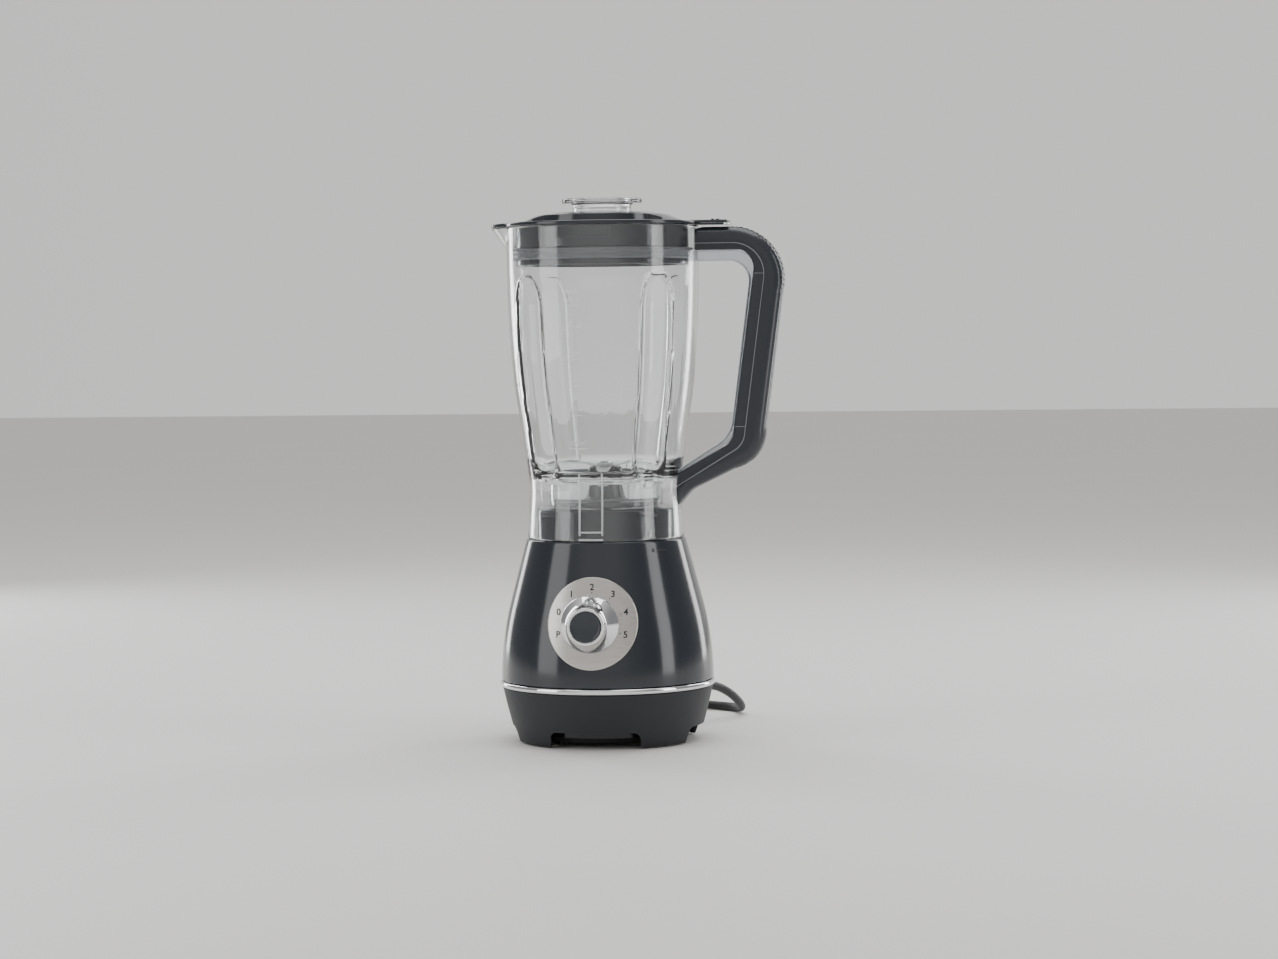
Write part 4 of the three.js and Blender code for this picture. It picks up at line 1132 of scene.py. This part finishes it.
@dataclass
class SpeedDial:
    """The dial plate, its numbers and the chrome knob."""

    base: MotorBase
    height: float = 95.0
    radius: float = 34.0
    proud: float = 1.6
    knob_back: float = 81.6
    number_circle: float = 26.6
    number_size: float = 6.7
    number_weight: float = 0.12
    mark_step: float = 36.0
    tick_circle: float = 22.7
    labels: str = "P012345"

    def front(self, x: float, z: float, lift: float) -> float:
        """Y of the plate's front face, with a lift, at a place on it."""
        return -math.sqrt((self.base.upper_outer(z) + self.proud + lift) ** 2 - x ** 2)

    def plate(self) -> None:
        """Makes the plate: a disc that follows the bell."""
        bm = bmesh.new()
        bmesh.ops.create_circle(bm, cap_ends=True, radius=5.2, segments=96)
        for radius in (12.0, 20.0, 28.0, 32.8, self.radius - 0.35, self.radius, self.radius, self.radius - 0.3):
            rim = [edge for edge in bm.edges if edge.is_boundary]
            grown = bmesh.ops.extrude_edge_only(bm, edges=rim)
            ring = [g for g in grown["geom"] if isinstance(g, bmesh.types.BMVert)]
            deeper = 0.25 if len(bm.verts) // 96 == 7 else 1.8 if len(bm.verts) // 96 > 7 else 0.0
            for vert in ring:
                out = Vector((vert.co.x, vert.co.y, 0.0)).normalized() * radius
                vert.co = Vector((out.x, out.y, -deeper))
        for vert in bm.verts:
            x, z, depth = vert.co.x, self.height + vert.co.y, vert.co.z
            vert.co = Vector((x, self.front(x, z, depth), z))
        bmesh.ops.recalc_face_normals(bm, faces=bm.faces)
        if max(bm.faces, key=lambda f: len(f.verts)).normal.y > 0:
            bmesh.ops.reverse_faces(bm, faces=bm.faces)
        piece("dial_face", bm, "dial_silver", Body.BASE, ("dial_plate",), sharp=50.0)

    def on_plate(self, bm: bmesh.types.BMesh, x0: float, z0: float) -> bmesh.types.BMesh:
        """Lays flat marks drawn in X and Y on the plate."""
        for vert in bm.verts:
            x, z = x0 + vert.co.x, self.height + z0 + vert.co.y
            vert.co = Vector((x, self.front(x, z, 0.03 + vert.co.z), z))
        return bm

    def numbers(self) -> None:
        """Makes the printed speed marks round the knob."""
        marks = []
        for index, label in enumerate(self.labels):
            angle = math.radians(self.mark_step * (index - 3))
            place = (self.number_circle * math.sin(angle), self.number_circle * math.cos(angle))
            marks.append(self.on_plate(lettering(label, self.number_size, 0.08, self.number_weight), *place))
            tick = turn(cuboid((-0.3, -0.5, 0.0), (0.3, 0.5, 0.08), 0.0), -math.degrees(angle))
            closer = self.tick_circle / self.number_circle
            marks.append(self.on_plate(tick, place[0] * closer, place[1] * closer))
        piece("dial_numbers", merged(*marks), "ink", Body.BASE)

    def knob(self) -> None:
        """Makes the chrome knob and its dark cap."""
        skirt, nose, depth = 21.75, 13.9, 21.4
        flank = [(nose + 0.15 + (skirt - nose - 0.15) * (1 - t) ** 1.75, 3.4 + (depth - 5.6) * t)
                 for t in steps_between(0.03, 1.0, 18)]
        start: list[Corner] = [(3.4, 3.0), (6.5, 3.0), (6.5, 14.5), (10.0, 14.5), (17.0, 3.5), (19.6, 0.0, 0.4),
                               (skirt, 0.0, 0.9), (skirt, 3.0, 0.5), flank[0]]
        end: list[Corner] = [flank[-1], (nose, depth, 1.0), (11.9, depth, 0.5), (11.8, depth - 1.9),
                             (3.4, depth - 1.9)]
        profile = [*rounded(start, steps=5)[:-1], *flank, *rounded(end, steps=5)[1:]]
        bm = turned(profile, 160, closed=True)
        piece("knob_shell", self.placed(bm), "chrome", Body.KNOB, ("speed_knob",))
        disc = turned(rounded([(0, depth - 1.7), (11.6, depth - 1.7), (11.6, depth - 0.4, 0.5), (10.4, depth - 0.4, 0.6),
                               (9.6, depth - 0.9, 1.2), (0, depth - 1.3)], steps=5), 96)
        piece("knob_disc", self.placed(disc), "knob_blue", Body.KNOB, ("knob_cap",))

    def placed(self, bm: bmesh.types.BMesh) -> bmesh.types.BMesh:
        """Turns a knob part from +Z to -Y and moves it to the dial."""
        return shift(turn(bm, 90, "X"), 0, -self.knob_back, self.height)

    def build(self) -> None:
        """Makes the dial and the knob."""
        self.plate()
        self.numbers()
        self.knob()


# ------------------------------------------------------------------ jug
@dataclass
class Jug:
    """The clear fluted jug, its volume marks and its handle."""

    low: float = 154.5
    rim: float = 389.9
    wall: float = 3.0
    stations: list[Point2] = field(default_factory=lambda: [
        (59.7, 154.5), (58.4, 176.0), (57.5, 191.0), (58.7, 205.0), (63.2, 238.0), (68.4, 273.0), (71.6, 315.0),
        (72.9, 355.0), (73.2, 389.9)])
    volume_lines: tuple[tuple[int, float], ...] = (
        (1500, 330.3), (1250, 310.4), (1000, 290.5), (750, 270.6), (500, 248.8), (250, 224.0))
    marks_angle: float = -10.0
    word_above: float = 10.2
    figure_above: float = 4.3
    flute_angle: float = 44.0
    flute_half: float = 15.0
    flute_depth: float = 9.0
    flute_low: float = 197.0
    flute_high: float = 354.0
    flute_arch: float = 26.0
    flute_heel: float = 14.0
    flute_ease: float = 0.45
    spout_centre: float = 60.0
    spout_low: float = 372.0
    spout_radius_low: float = 12.6
    spout_radius_high: float = 25.3

    def radius(self, height: float) -> float:
        """Outer radius of the wall at a height."""
        return smooth_height(self.stations, height)

    def flute(self, theta: float, height: float) -> float:
        """How far the wall is pressed in at an angle and a height."""
        stand = (self.flute_half ** 2 + self.flute_depth ** 2) / (2 * self.flute_depth) - self.flute_depth
        if not self.flute_low < height < self.flute_high:
            return 0.0
        rise, fall = height - self.flute_low, self.flute_high - height
        half = self.flute_half
        if rise < self.flute_heel:
            half *= math.sin(rise / self.flute_heel * math.pi / 2)
        if fall < self.flute_arch:
            t = fall / self.flute_arch
            half *= math.sqrt(t * (2 - t))
        size = math.hypot(half, stand)
        front = theta + math.pi / 2
        deepest = 0.0
        for centre in (self.flute_angle, 180 - self.flute_angle, 180 + self.flute_angle, -self.flute_angle):
            away = math.remainder(front - math.radians(centre), 2 * math.pi)
            across = self.radius(height) * math.sin(away)
            if abs(away) < 1.0:
                depth = size - math.hypot(across, stand)
                if abs(across) < size:
                    depth = max(depth, math.sqrt(size ** 2 - across ** 2) - stand)
                soft = (depth + math.hypot(depth, 2 * self.flute_ease)) / 2
                fade = min(1.0, rise / 4.0, fall / 4.0)
                deepest = max(deepest, soft * fade if depth > -4.0 else 0.0)
        return deepest

    def spout(self, theta: float, height: float, inset: float) -> float:
        """Distance from the axis to the spout's wall at an angle and a height, or 0 beside it."""
        if height < self.spout_low:
            return 0.0
        t = min(1.0, (height - self.spout_low) / (self.rim - self.spout_low))
        size = self.spout_radius_low + (self.spout_radius_high - self.spout_radius_low) * t - inset
        away = math.remainder(theta - math.pi, 2 * math.pi)
        offside = self.spout_centre * math.sin(away)
        if abs(away) > 0.6 or abs(offside) >= size:
            return 0.0
        return self.spout_centre * math.cos(away) + math.sqrt(size ** 2 - offside ** 2)

    def body(self) -> None:
        """Makes the vessel as one closed clear wall."""
        wall, low, rim = self.wall, self.low, self.rim
        outside = [(self.radius(z), z) for z in steps_between(low + 1.2, rim - 1.6, 92)]
        inside = [(self.radius(z) - wall, z) for z in reversed(steps_between(214.0, rim - 1.6, 68))]
        foot: list[Corner] = [(56.8, low + 3.0), (57.2, low, 0.8), (self.radius(low), low, 1.0), outside[0]]
        lip: list[Corner] = [outside[-1], (self.radius(rim), rim, 1.2),
                             (self.radius(rim) - wall, rim, 1.2), inside[0]]
        floor: list[Corner] = [inside[-1], (52.4, 206.0, 6.0), (41.0, 199.0, 3.0), (41.0, 178.6, 0.6),
                               (43.6, 178.6, 0.6), (43.6, 197.4, 1.5), (53.4, 203.2, 3.0), (55.0, 200.0, 2.0),
                               (self.radius(190.0) - wall, 190.0), (self.radius(176.0) - wall, 176.0),
                               (56.8, low + 3.0)]
        profile = [*rounded(foot, steps=4)[:-1], *outside, *rounded(lip, steps=4)[1:-1], *inside,
                   *rounded(floor, steps=4)[1:-1]]
        bm = turned(profile, 360, closed=True)
        for vert in bm.verts:
            radius = math.hypot(vert.co.x, vert.co.y)
            theta = math.atan2(vert.co.y, vert.co.x)
            if radius < 48.0:
                continue
            is_inner = radius < self.radius(vert.co.z) - wall / 2
            moved = radius - self.flute(theta, vert.co.z)
            spout = self.spout(theta, vert.co.z, wall if is_inner else 0.0)
            moved = max(moved, spout)
            vert.co.x *= moved / radius
            vert.co.y *= moved / radius
        piece("jug_vessel", bm, "clear_plastic", Body.JUG, ("jug",), sharp=24.0)

    def on_wall(self, bm: bmesh.types.BMesh, angle: float, height: float, lift: float) -> bmesh.types.BMesh:
        """Wraps flat marks drawn in X and Y round the jug at an angle from the front."""
        for vert in bm.verts:
            z = height + vert.co.y
            radius = self.radius(z) + lift + vert.co.z
            theta = math.radians(angle - 90.0) + vert.co.x / self.radius(z)
            vert.co = Vector((radius * math.cos(theta), radius * math.sin(theta), z))
        return bm

    def marks(self) -> None:
        """Makes the frosted volume marks and the white locking line."""
        top = self.volume_lines[0][1]
        angle = self.marks_angle
        prints = [self.on_wall(lettering("MAX", 5.0, 0.12), angle, top + self.word_above, 0.03)]
        for volume, height in self.volume_lines:
            figure = lettering(f"{volume} ml", 4.2, 0.12)
            prints.append(self.on_wall(figure, angle, height + self.figure_above, 0.03))
            dash = cuboid((-6.5, -0.25, 0.0), (6.5, 0.25, 0.12), 0.0)
            bmesh.ops.subdivide_edges(dash, edges=dash.edges, cuts=6, use_grid_fill=True)
            prints.append(self.on_wall(dash, angle, height, 0.03))
        piece("volume_marks", merged(*prints), "frost", Body.JUG)
        slash = turn(cuboid((-0.4, -2.6, 0.0), (0.4, 2.6, 0.12), 0.0), -14)
        piece("lock_line", self.on_wall(slash, 43.0, 159.4, 0.03), "light_ink", Body.JUG)

    def collar_ribs(self) -> None:
        """Makes the moulded ribs and ledges on the front of the collar."""
        ribs = []
        for side in (-8.5, 8.5):
            for quarter in (0.0, 180.0):
                rib = cuboid((side - 0.7, -23.0, 0.0), (side + 0.7, 23.0, 1.1), 0.25)
                bmesh.ops.subdivide_edges(rib, edges=[e for e in rib.edges if e.calc_length() > 20], cuts=24,
                                          use_grid_fill=True)
                ribs.append(self.on_wall(rib, quarter - 2.0, 182.0, 0.05))
        for quarter in (0.0, 180.0):
            for height in (156.0, 161.5):
                bar = cuboid((-9.2, -0.7, 0.0), (9.2, 0.7, 1.4), 0.25)
                bmesh.ops.subdivide_edges(bar, edges=[e for e in bar.edges if e.calc_length() > 10], cuts=8,
                                          use_grid_fill=True)
                ribs.append(self.on_wall(bar, quarter - 2.0, height, 0.05))
        piece("collar_ribs", merged(*ribs), "ribs", Body.JUG)

    def build(self) -> None:
        """Makes the vessel and its marks."""
        self.body()
        self.marks()
        self.collar_ribs()


@dataclass
class Handle:
    """The hooked handle: clear frame, dark grip, inlay and clear back strip."""

    jug: Jug
    width: float = 26.0
    seam_low: float = 238.0
    seam_high: float = 353.0
    outer: list[Corner] = field(default_factory=lambda: [
        (70.0, 388.7), (144.0, 388.7, 39.6), (120.5, 215.3, 29.0), (68.0, 190.0, 18.0), (55.0, 174.5)])
    step: list[Corner] = field(default_factory=lambda: [
        (66.0, 376.0), (127.4, 376.0, 23.5), (107.1, 223.7, 16.0), (48.0, 193.0)])
    inner: list[Corner] = field(default_factory=lambda: [
        (66.0, 371.0), (118.5, 371.0, 14.0), (98.8, 226.2, 14.0), (48.0, 202.8)])
    finger: list[Corner] = field(default_factory=lambda: [
        (66.0, 362.5), (114.5, 362.5, 14.9), (97.3, 229.0, 26.2), (48.0, 205.5)])

    def line(self, corners: list[Corner], out: float = 0.0) -> list[Point2]:
        """A smooth line from its corners, moved outwards by a distance."""
        moved = []
        for index, corner in enumerate(corners):
            radius = corner[2] if len(corner) > 2 else 0.0
            moved.append((corner[0] + out, corner[1] + (out if index < 2 else -1.3 * out), radius))
        return rounded(moved, steps=16)

    def opposite(self, line: list[Point2], guide: list[Point2]) -> list[Point2]:
        """Adds points to a line's last straight part, opposite the points of a longer line."""
        start, end = (Vector(point) for point in line[-2:])
        along = end - start
        feet = [(Vector(point) - start).dot(along) / along.length_squared for point in guide[len(line) - 1:-1]]
        return [*line[:-1], *(tuple(start + along * foot) for foot in feet), line[-1]]

    def against_jug(self, bm: bmesh.types.BMesh, gap: float = 0.15) -> bmesh.types.BMesh:
        """Draws whatever lies inside the jug's wall out on to the wall."""
        for across in (-9.0, -4.5, 0.0, 4.5, 9.0):
            bmesh.ops.bisect_plane(bm, geom=bm.verts[:] + bm.edges[:] + bm.faces[:], dist=0.0001,
                                   plane_co=(0, across, 0), plane_no=(0, 1, 0))
        for vert in bm.verts:
            reach = self.jug.radius(min(max(vert.co.z, self.jug.low), self.jug.rim)) + gap
            if abs(vert.co.y) < reach and vert.co.x ** 2 + vert.co.y ** 2 < reach ** 2:
                vert.co.x = math.sqrt(reach ** 2 - vert.co.y ** 2)
        return bm

    def between(self, bm: bmesh.types.BMesh, low: float, high: float) -> bmesh.types.BMesh:
        """Keeps what lies between two heights and closes the cuts."""
        for height, keep_up in ((low, True), (high, False)):
            geom = bm.verts[:] + bm.edges[:] + bm.faces[:]
            cut = bmesh.ops.bisect_plane(bm, geom=geom, dist=0.0001, plane_co=(0, 0, height), plane_no=(0, 0, 1),
                                         clear_inner=keep_up, clear_outer=not keep_up)
            edges = [g for g in cut["geom_cut"] if isinstance(g, bmesh.types.BMEdge)]
            bmesh.ops.contextual_create(bm, geom=edges)
        bmesh.ops.recalc_face_normals(bm, faces=bm.faces)
        return bm

    def build(self) -> None:
        """Makes the handle's pieces."""
        frame_band = slab(self.line(self.inner, -0.25), self.line(self.finger), self.width, 0.3, 0.4)
        walls = [face for face in frame_band.faces if abs(face.normal.y) > 0.99]
        bmesh.ops.inset_region(frame_band, faces=walls, thickness=0.6, depth=-7.5, use_even_offset=True)
        piece("handle_clear", self.against_jug(frame_band), "clear_edge", Body.JUG, ("handle_frame",))
        # A pale bead along the step and pale bars across the two seams: a painted highlight of the clear channel's
        # edge, made in lighter plastic.
        highlight_bead = slab(self.line(self.step, 0.3), self.line(self.step, -0.25), self.width + 0.16, 0.0, 0.0)
        seam_highlights = []
        for height in (self.seam_low, self.seam_high):
            seam = slab(self.line(self.step, -0.2), self.line(self.inner, 0.3), self.width - 1.7, 0.0, 0.0)
            seam_highlights.append(self.between(seam, height - 0.25, height + 0.25))
        piece("handle_painted_highlight", merged(self.against_jug(highlight_bead), *seam_highlights), "painted_highlight_grey", Body.JUG)
        back_line = self.line(self.outer, -0.3)
        grip = slab(back_line, self.opposite(self.line(self.step), back_line), self.width, 8.6, 0.5, segments=10)
        low_tongue = slab(self.line(self.step, -0.05), self.line(self.inner, 0.15), self.width - 2.4, 0.0, 0.6)
        high_tongue = slab(self.line(self.step, -0.05), self.line(self.inner, 0.15), self.width - 2.4, 0.0, 0.6)
        inlay = slab(self.line(self.step, -0.05), self.line(self.inner, 0.15), self.width - 2.0, 0.0, 1.2)
        ends = merged(self.against_jug(self.between(low_tongue, 150.0, self.seam_low - 0.3)),
                      self.against_jug(self.between(high_tongue, self.seam_high + 0.3, 400.0)))
        piece("handle_body", merged(self.against_jug(grip), ends), "satin_grey", Body.JUG, ("handle_grip",))
        piece("handle_inlay", self.between(inlay, self.seam_low, self.seam_high), "satin_grey", Body.JUG,
              ("grip_inlay",))
        strip = slab(self.line(self.outer, 0.0), self.line(self.outer, -1.4), 12.0, 0.5, 0.3)
        piece("handle_strip_clear", self.between(strip, 236.0, 356.0), "clear_edge", Body.JUG, ("handle_strip",))


# ------------------------------------------------------------------ lid and cap
@dataclass
class Lid:
    """The dark lid with its seal, front block, handle tab and spout cover."""

    jug: Jug
    under: float = 390.2
    flange: float = 74.4
    skirt: float = 65.5
    skirt_low: float = 360.6
    hole: float = 22.6
    ledge: float = 24.4
    scoop_half: float = 58.0
    scoop_radius: float = 50.6

    def cover(self) -> None:
        """Makes the lid's shell."""
        under, flange, skirt, low = self.under, self.flange, self.skirt, self.skirt_low
        corners: list[Corner] = [
            (skirt - 2.8, low, 0.5), (skirt, low, 0.8), (skirt, 364.6, 0.3), (63.8, 364.6, 0.3), (63.8, 373.8, 0.3),
            (skirt, 373.8, 0.3), (skirt, under, 0.6), (flange, under, 0.7), (flange, under + 2.8, 1.1),
            (62.5, under + 3.2, 4.0), (50.0, 398.6, 22.0), (34.5, 400.7, 8.0), (26.0, 400.7, 0.6), (25.6, 400.1, 0.3),
            (self.ledge, 400.1, 0.3), (self.ledge, 396.7, 0.3), (self.hole, 396.7, 0.3), (self.hole, 386.0, 0.5),
            (26.8, 386.0, 0.5), (26.8, 397.4, 0.4), (34.5, 397.6, 5.0), (50.0, 395.6, 16.0), (60.5, 391.2, 3.0),
            (skirt - 2.8, 388.0, 2.0)]
        bm = turned(self.finer(rounded(corners, closed=True, steps=5)), 256, closed=True)
        for vert in bm.verts:
            radius = math.hypot(vert.co.x, vert.co.y)
            self.press_front(vert, radius)
            if radius > flange - 3.0:
                theta = math.atan2(vert.co.y, vert.co.x)
                edge = self.jug.spout(theta, 389.9, 0.0) + 0.2
                if edge > self.flange:
                    grown = (radius - (flange - 3.0)) / 3.0
                    moved = radius + (edge - flange) * grown
                    vert.co.x *= moved / radius
                    vert.co.y *= moved / radius
        piece("lid_shell", bm, "gloss_grey", Body.LID, ("lid",))

    @staticmethod
    def finer(profile: list[Point2], step: float = 1.1) -> list[Point2]:
        """Adds points to the parts of a closed profile that lie in the dome's shoulder."""
        result = []
        for start, end in zip(profile, [*profile[1:], profile[0]]):
            result.append(start)
            near = all(46.0 < point[0] < 66.0 and point[1] > 388.0 for point in (start, end))
            parts = max(1, round(math.dist(start, end) / step)) if near else 1
            result += [(start[0] + (end[0] - start[0]) * part / parts, start[1] + (end[1] - start[1]) * part / parts)
                       for part in range(1, parts)]
        return result

    def press_front(self, vert: bmesh.types.BMVert, radius: float) -> None:
        """Presses the finger scoop into the front of the dome's shoulder."""
        away = abs(math.degrees(math.atan2(vert.co.x, -vert.co.y)))
        if away > self.scoop_half or not 47.0 < radius < 63.5:
            return
        on_top = vert.co.z > self.under + 3.2 + (62.5 - radius) * 0.4 - 1.4
        edge = self.scoop_radius + 6.0 * max(0.0, (away - self.scoop_half + 14.0) / 14.0) ** 2
        floor = self.under + 3.0 if on_top else self.under + 0.6
        if radius > edge - (0.0 if on_top else 2.6):
            vert.co.z = min(vert.co.z, floor)

    def seal(self) -> None:
        """Makes the translucent seal with its three soft lips."""
        profile: list[Corner] = [(64.1, 364.9, 0.2), (67.0, 364.9, 0.3)]
        for height in (366.0, 369.1, 372.2):
            profile += [(67.2, height - 0.8, 0.2), (69.6, height + 0.2, 0.4), (67.2, height + 0.9, 0.2)]
        profile.append((64.1, 373.5, 0.2))
        piece("seal_ring", turned(rounded(profile, closed=True, steps=4), 192, closed=True), "silicone", Body.LID,
              ("lid_seal",))

    def fittings(self) -> None:
        """Makes the block under the flange, the handle tab and the tab's clear end."""
        block = cuboid((-21.0, -68.9, 380.6), (21.0, -64.0, 390.3), 0.8)
        for vert in block.verts:
            out = math.sqrt(max(0.0, 69.3 ** 2 - vert.co.x ** 2))
            vert.co.y = -(out - (68.9 + vert.co.y)) if vert.co.y < -66 else vert.co.y
        turn(block, -4)
        tab = merged(cuboid((68.0, -12.5, 391.6), (96.5, 12.5, 393.6), 0.8, 4),
                     cuboid((73.6, -10.5, 389.95), (93.5, 10.5, 391.2), 0.4),
                     cuboid((84.6, -12.5, 393.4), (86.4, 12.5, 394.3), 0.4),
                     cuboid((88.4, -12.5, 393.4), (90.2, 12.5, 394.3), 0.4))
        piece("lid_tab", merged(tab, block), "gloss_grey", Body.LID)
        end = cuboid((93.8, -11.0, 389.6), (98.2, 11.0, 391.4), 0.5)
        piece("lid_tab_end", end, "clear_plastic", Body.LID)

    def build(self) -> None:
        """Makes the lid's pieces."""
        self.cover()
        self.seal()
        self.fittings()


@dataclass
class MeasuringCap:
    """The clear cap in the lid's filling hole."""

    def build(self) -> None:
        """Makes the cap."""
        corners: list[Corner] = [
            (0, 405.4), (20.2, 405.4, 1.5), (20.2, 366.0, 0.8), (22.2, 366.0, 0.8), (22.2, 397.0, 0.4),
            (24.0, 397.0, 0.4), (24.0, 400.2, 0.5), (22.2, 400.2, 0.5), (22.2, 406.2, 1.5), (24.5, 407.6, 1.5),
            (30.4, 407.6, 1.0), (30.4, 411.0, 1.2), (24.0, 411.0, 1.5), (21.5, 409.4, 2.0), (0, 409.2)]
        piece("cap_clear", turned(rounded(corners, steps=5), 160), "clear_plastic", Body.CAP, ("measuring_cap",))


# ------------------------------------------------------------------ blades
@dataclass
class BladeUnit:
    """The holder, seal, blades and couplings in the jug's well."""

    shaft: float = 4.0

    def holder(self) -> None:
        """Makes the dark holder disc and its seal."""
        corners: list[Corner] = [
            (7.3, 179.0), (40.5, 179.0, 0.4), (40.5, 181.7, 0.5), (33.0, 183.0, 3.0), (15.0, 185.6, 3.0),
            (12.0, 198.5, 1.2), (7.3, 198.5, 0.4)]
        piece("holder_disc", turned(rounded(corners, closed=True, steps=5), 128, closed=True), "satin_grey",
              Body.BLADE_UNIT, ("blade_holder",))
        ring = rounded([(34.5, 183.1, 0.7), (40.0, 183.1, 0.7), (40.0, 184.9, 0.7), (34.5, 184.9, 0.7)],
                       closed=True, steps=5)
        piece("holder_seal", turned(ring, 128, closed=True), "silicone", Body.BLADE_UNIT, ("blade_seal",))

    @staticmethod
    def blade(seat: float, rise: float, reach: float, degrees: float) -> bmesh.types.BMesh:
        """One two-armed blade, bent and ground to an edge.

        Args:
            seat: Height of its flat middle.
            rise: How far the tips stand above the middle.
            reach: Length of each arm.
            degrees: Its turn about the shaft.

        Returns:
            The new bmesh, in millimetres.
        """
        bm = bmesh.new()
        bmesh.ops.create_grid(bm, x_segments=40, y_segments=6, size=1.0)
        for vert in bm.verts:
            x, v = vert.co.x * reach, vert.co.y
            along = max(0.0, abs(x) - 9.0) / (reach - 9.0)
            half = 6.0 - 2.6 * along ** 1.5
            sweep = 2.2 * along * (1 if x > 0 else -1)
            eased = along ** 1.2
            vert.co = Vector((x, v * half + sweep, seat + rise * eased))
        grown = bmesh.ops.extrude_face_region(bm, geom=bm.faces[:])
        for vert in [g for g in grown["geom"] if isinstance(g, bmesh.types.BMVert)]:
            vert.co.z += 1.2
        bmesh.ops.recalc_face_normals(bm, faces=bm.faces)
        for vert in bm.verts:
            along = max(0.0, abs(vert.co.x) - 9.0) / (reach - 9.0)
            leading = vert.co.y * (1 if vert.co.x > 0 else -1)
            if along > 0.1 and leading > 4.2:
                vert.co.z -= 0.45 if vert.co.z > seat + rise * along ** 1.2 + 0.6 else -0.45
        return turn(bm, degrees)

    def blades(self) -> None:
        """Makes the two pairs of blades, the nut and the shaft."""
        piece("blade_pair_low", self.blade(199.2, -4.0, 27.0, 90.0), "steel", Body.BLADE_ROTOR, ("blade_lower",))
        piece("blade_pair_high", self.blade(200.7, 11.0, 26.0, 0.0), "steel", Body.BLADE_ROTOR, ("blade_upper",))
        nut = turned(rounded([(0, 202.2), (6.6, 202.2, 0.5), (6.6, 205.8, 0.6), (5.0, 207.4, 2.0), (0, 209.6)],
                             steps=5), 6)
        bmesh.ops.bevel(nut, geom=[e for e in nut.edges if e.calc_face_angle(0.0) > 0.8], offset=0.35,
                        offset_type="OFFSET", segments=3, profile=0.5, affect="EDGES", clamp_overlap=True, material=-1)
        piece("blade_cap_nut", nut, "steel", Body.BLADE_ROTOR, ("blade_nut",), sharp=40.0)

    def build(self) -> None:
        """Makes the unit's pieces."""
        self.holder()
        self.blades()


# ------------------------------------------------------------------ CAD nodes that stay
NODE_FINISH = {
    "bottom_cover": "black_plastic", "stator_core": "steel", "motor_lower_bracket": "black_plastic",
    "motor_upper_bracket": "steel", "bearing_lower": "steel", "bearing_upper": "steel",
    "rotary_switch": "black_plastic", "circuit_board": "board_green", "micro_switch": "black_plastic",
    "rotor_shaft": "steel", "rotor_core": "steel", "commutator": "copper", "cooling_fan": "black_plastic",
    "drive_coupling": "black_plastic", "switch_spindle": "steel", "interlock_pin": "black_plastic",
    "shaft_bush": "brass", "blade_shaft": "steel", "driven_coupling": "black_plastic",
}
REPEATED_NODES = {"bottom_screw_": (4, "steel"), "stator_coil_": (2, "copper"), "brush_holder_": (2, "brass"),
                  "carbon_brush_": (2, "carbon"), "motor_mount_": (2, "rubber")}


def dress_nodes() -> None:
    """Gives every CAD node that stays in view its finish."""
    wanted = dict(NODE_FINISH)
    for stem, (count, finish) in REPEATED_NODES.items():
        wanted.update({f"{stem}{index + 1}": finish for index in range(count)})
    for name, finish in wanted.items():
        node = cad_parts[name]
        node.data.materials.clear()
        node.data.materials.append(FINISHES.get(finish))
        LOG.info("%s dressed in %s", name, finish)


def main() -> None:
    """Builds the appliance, sub-assembly by sub-assembly."""
    logging.basicConfig(level=logging.INFO, format="%(name)s: %(message)s")
    Studio().build()
    PowerCord().build()
    base = MotorBase()
    base.build()
    SpeedDial(base).build()
    jug = Jug()
    jug.build()
    Handle(jug).build()
    Lid(jug).build()
    MeasuringCap().build()
    BladeUnit().build()
    dress_nodes()


if __name__ == "__main__":
    main()
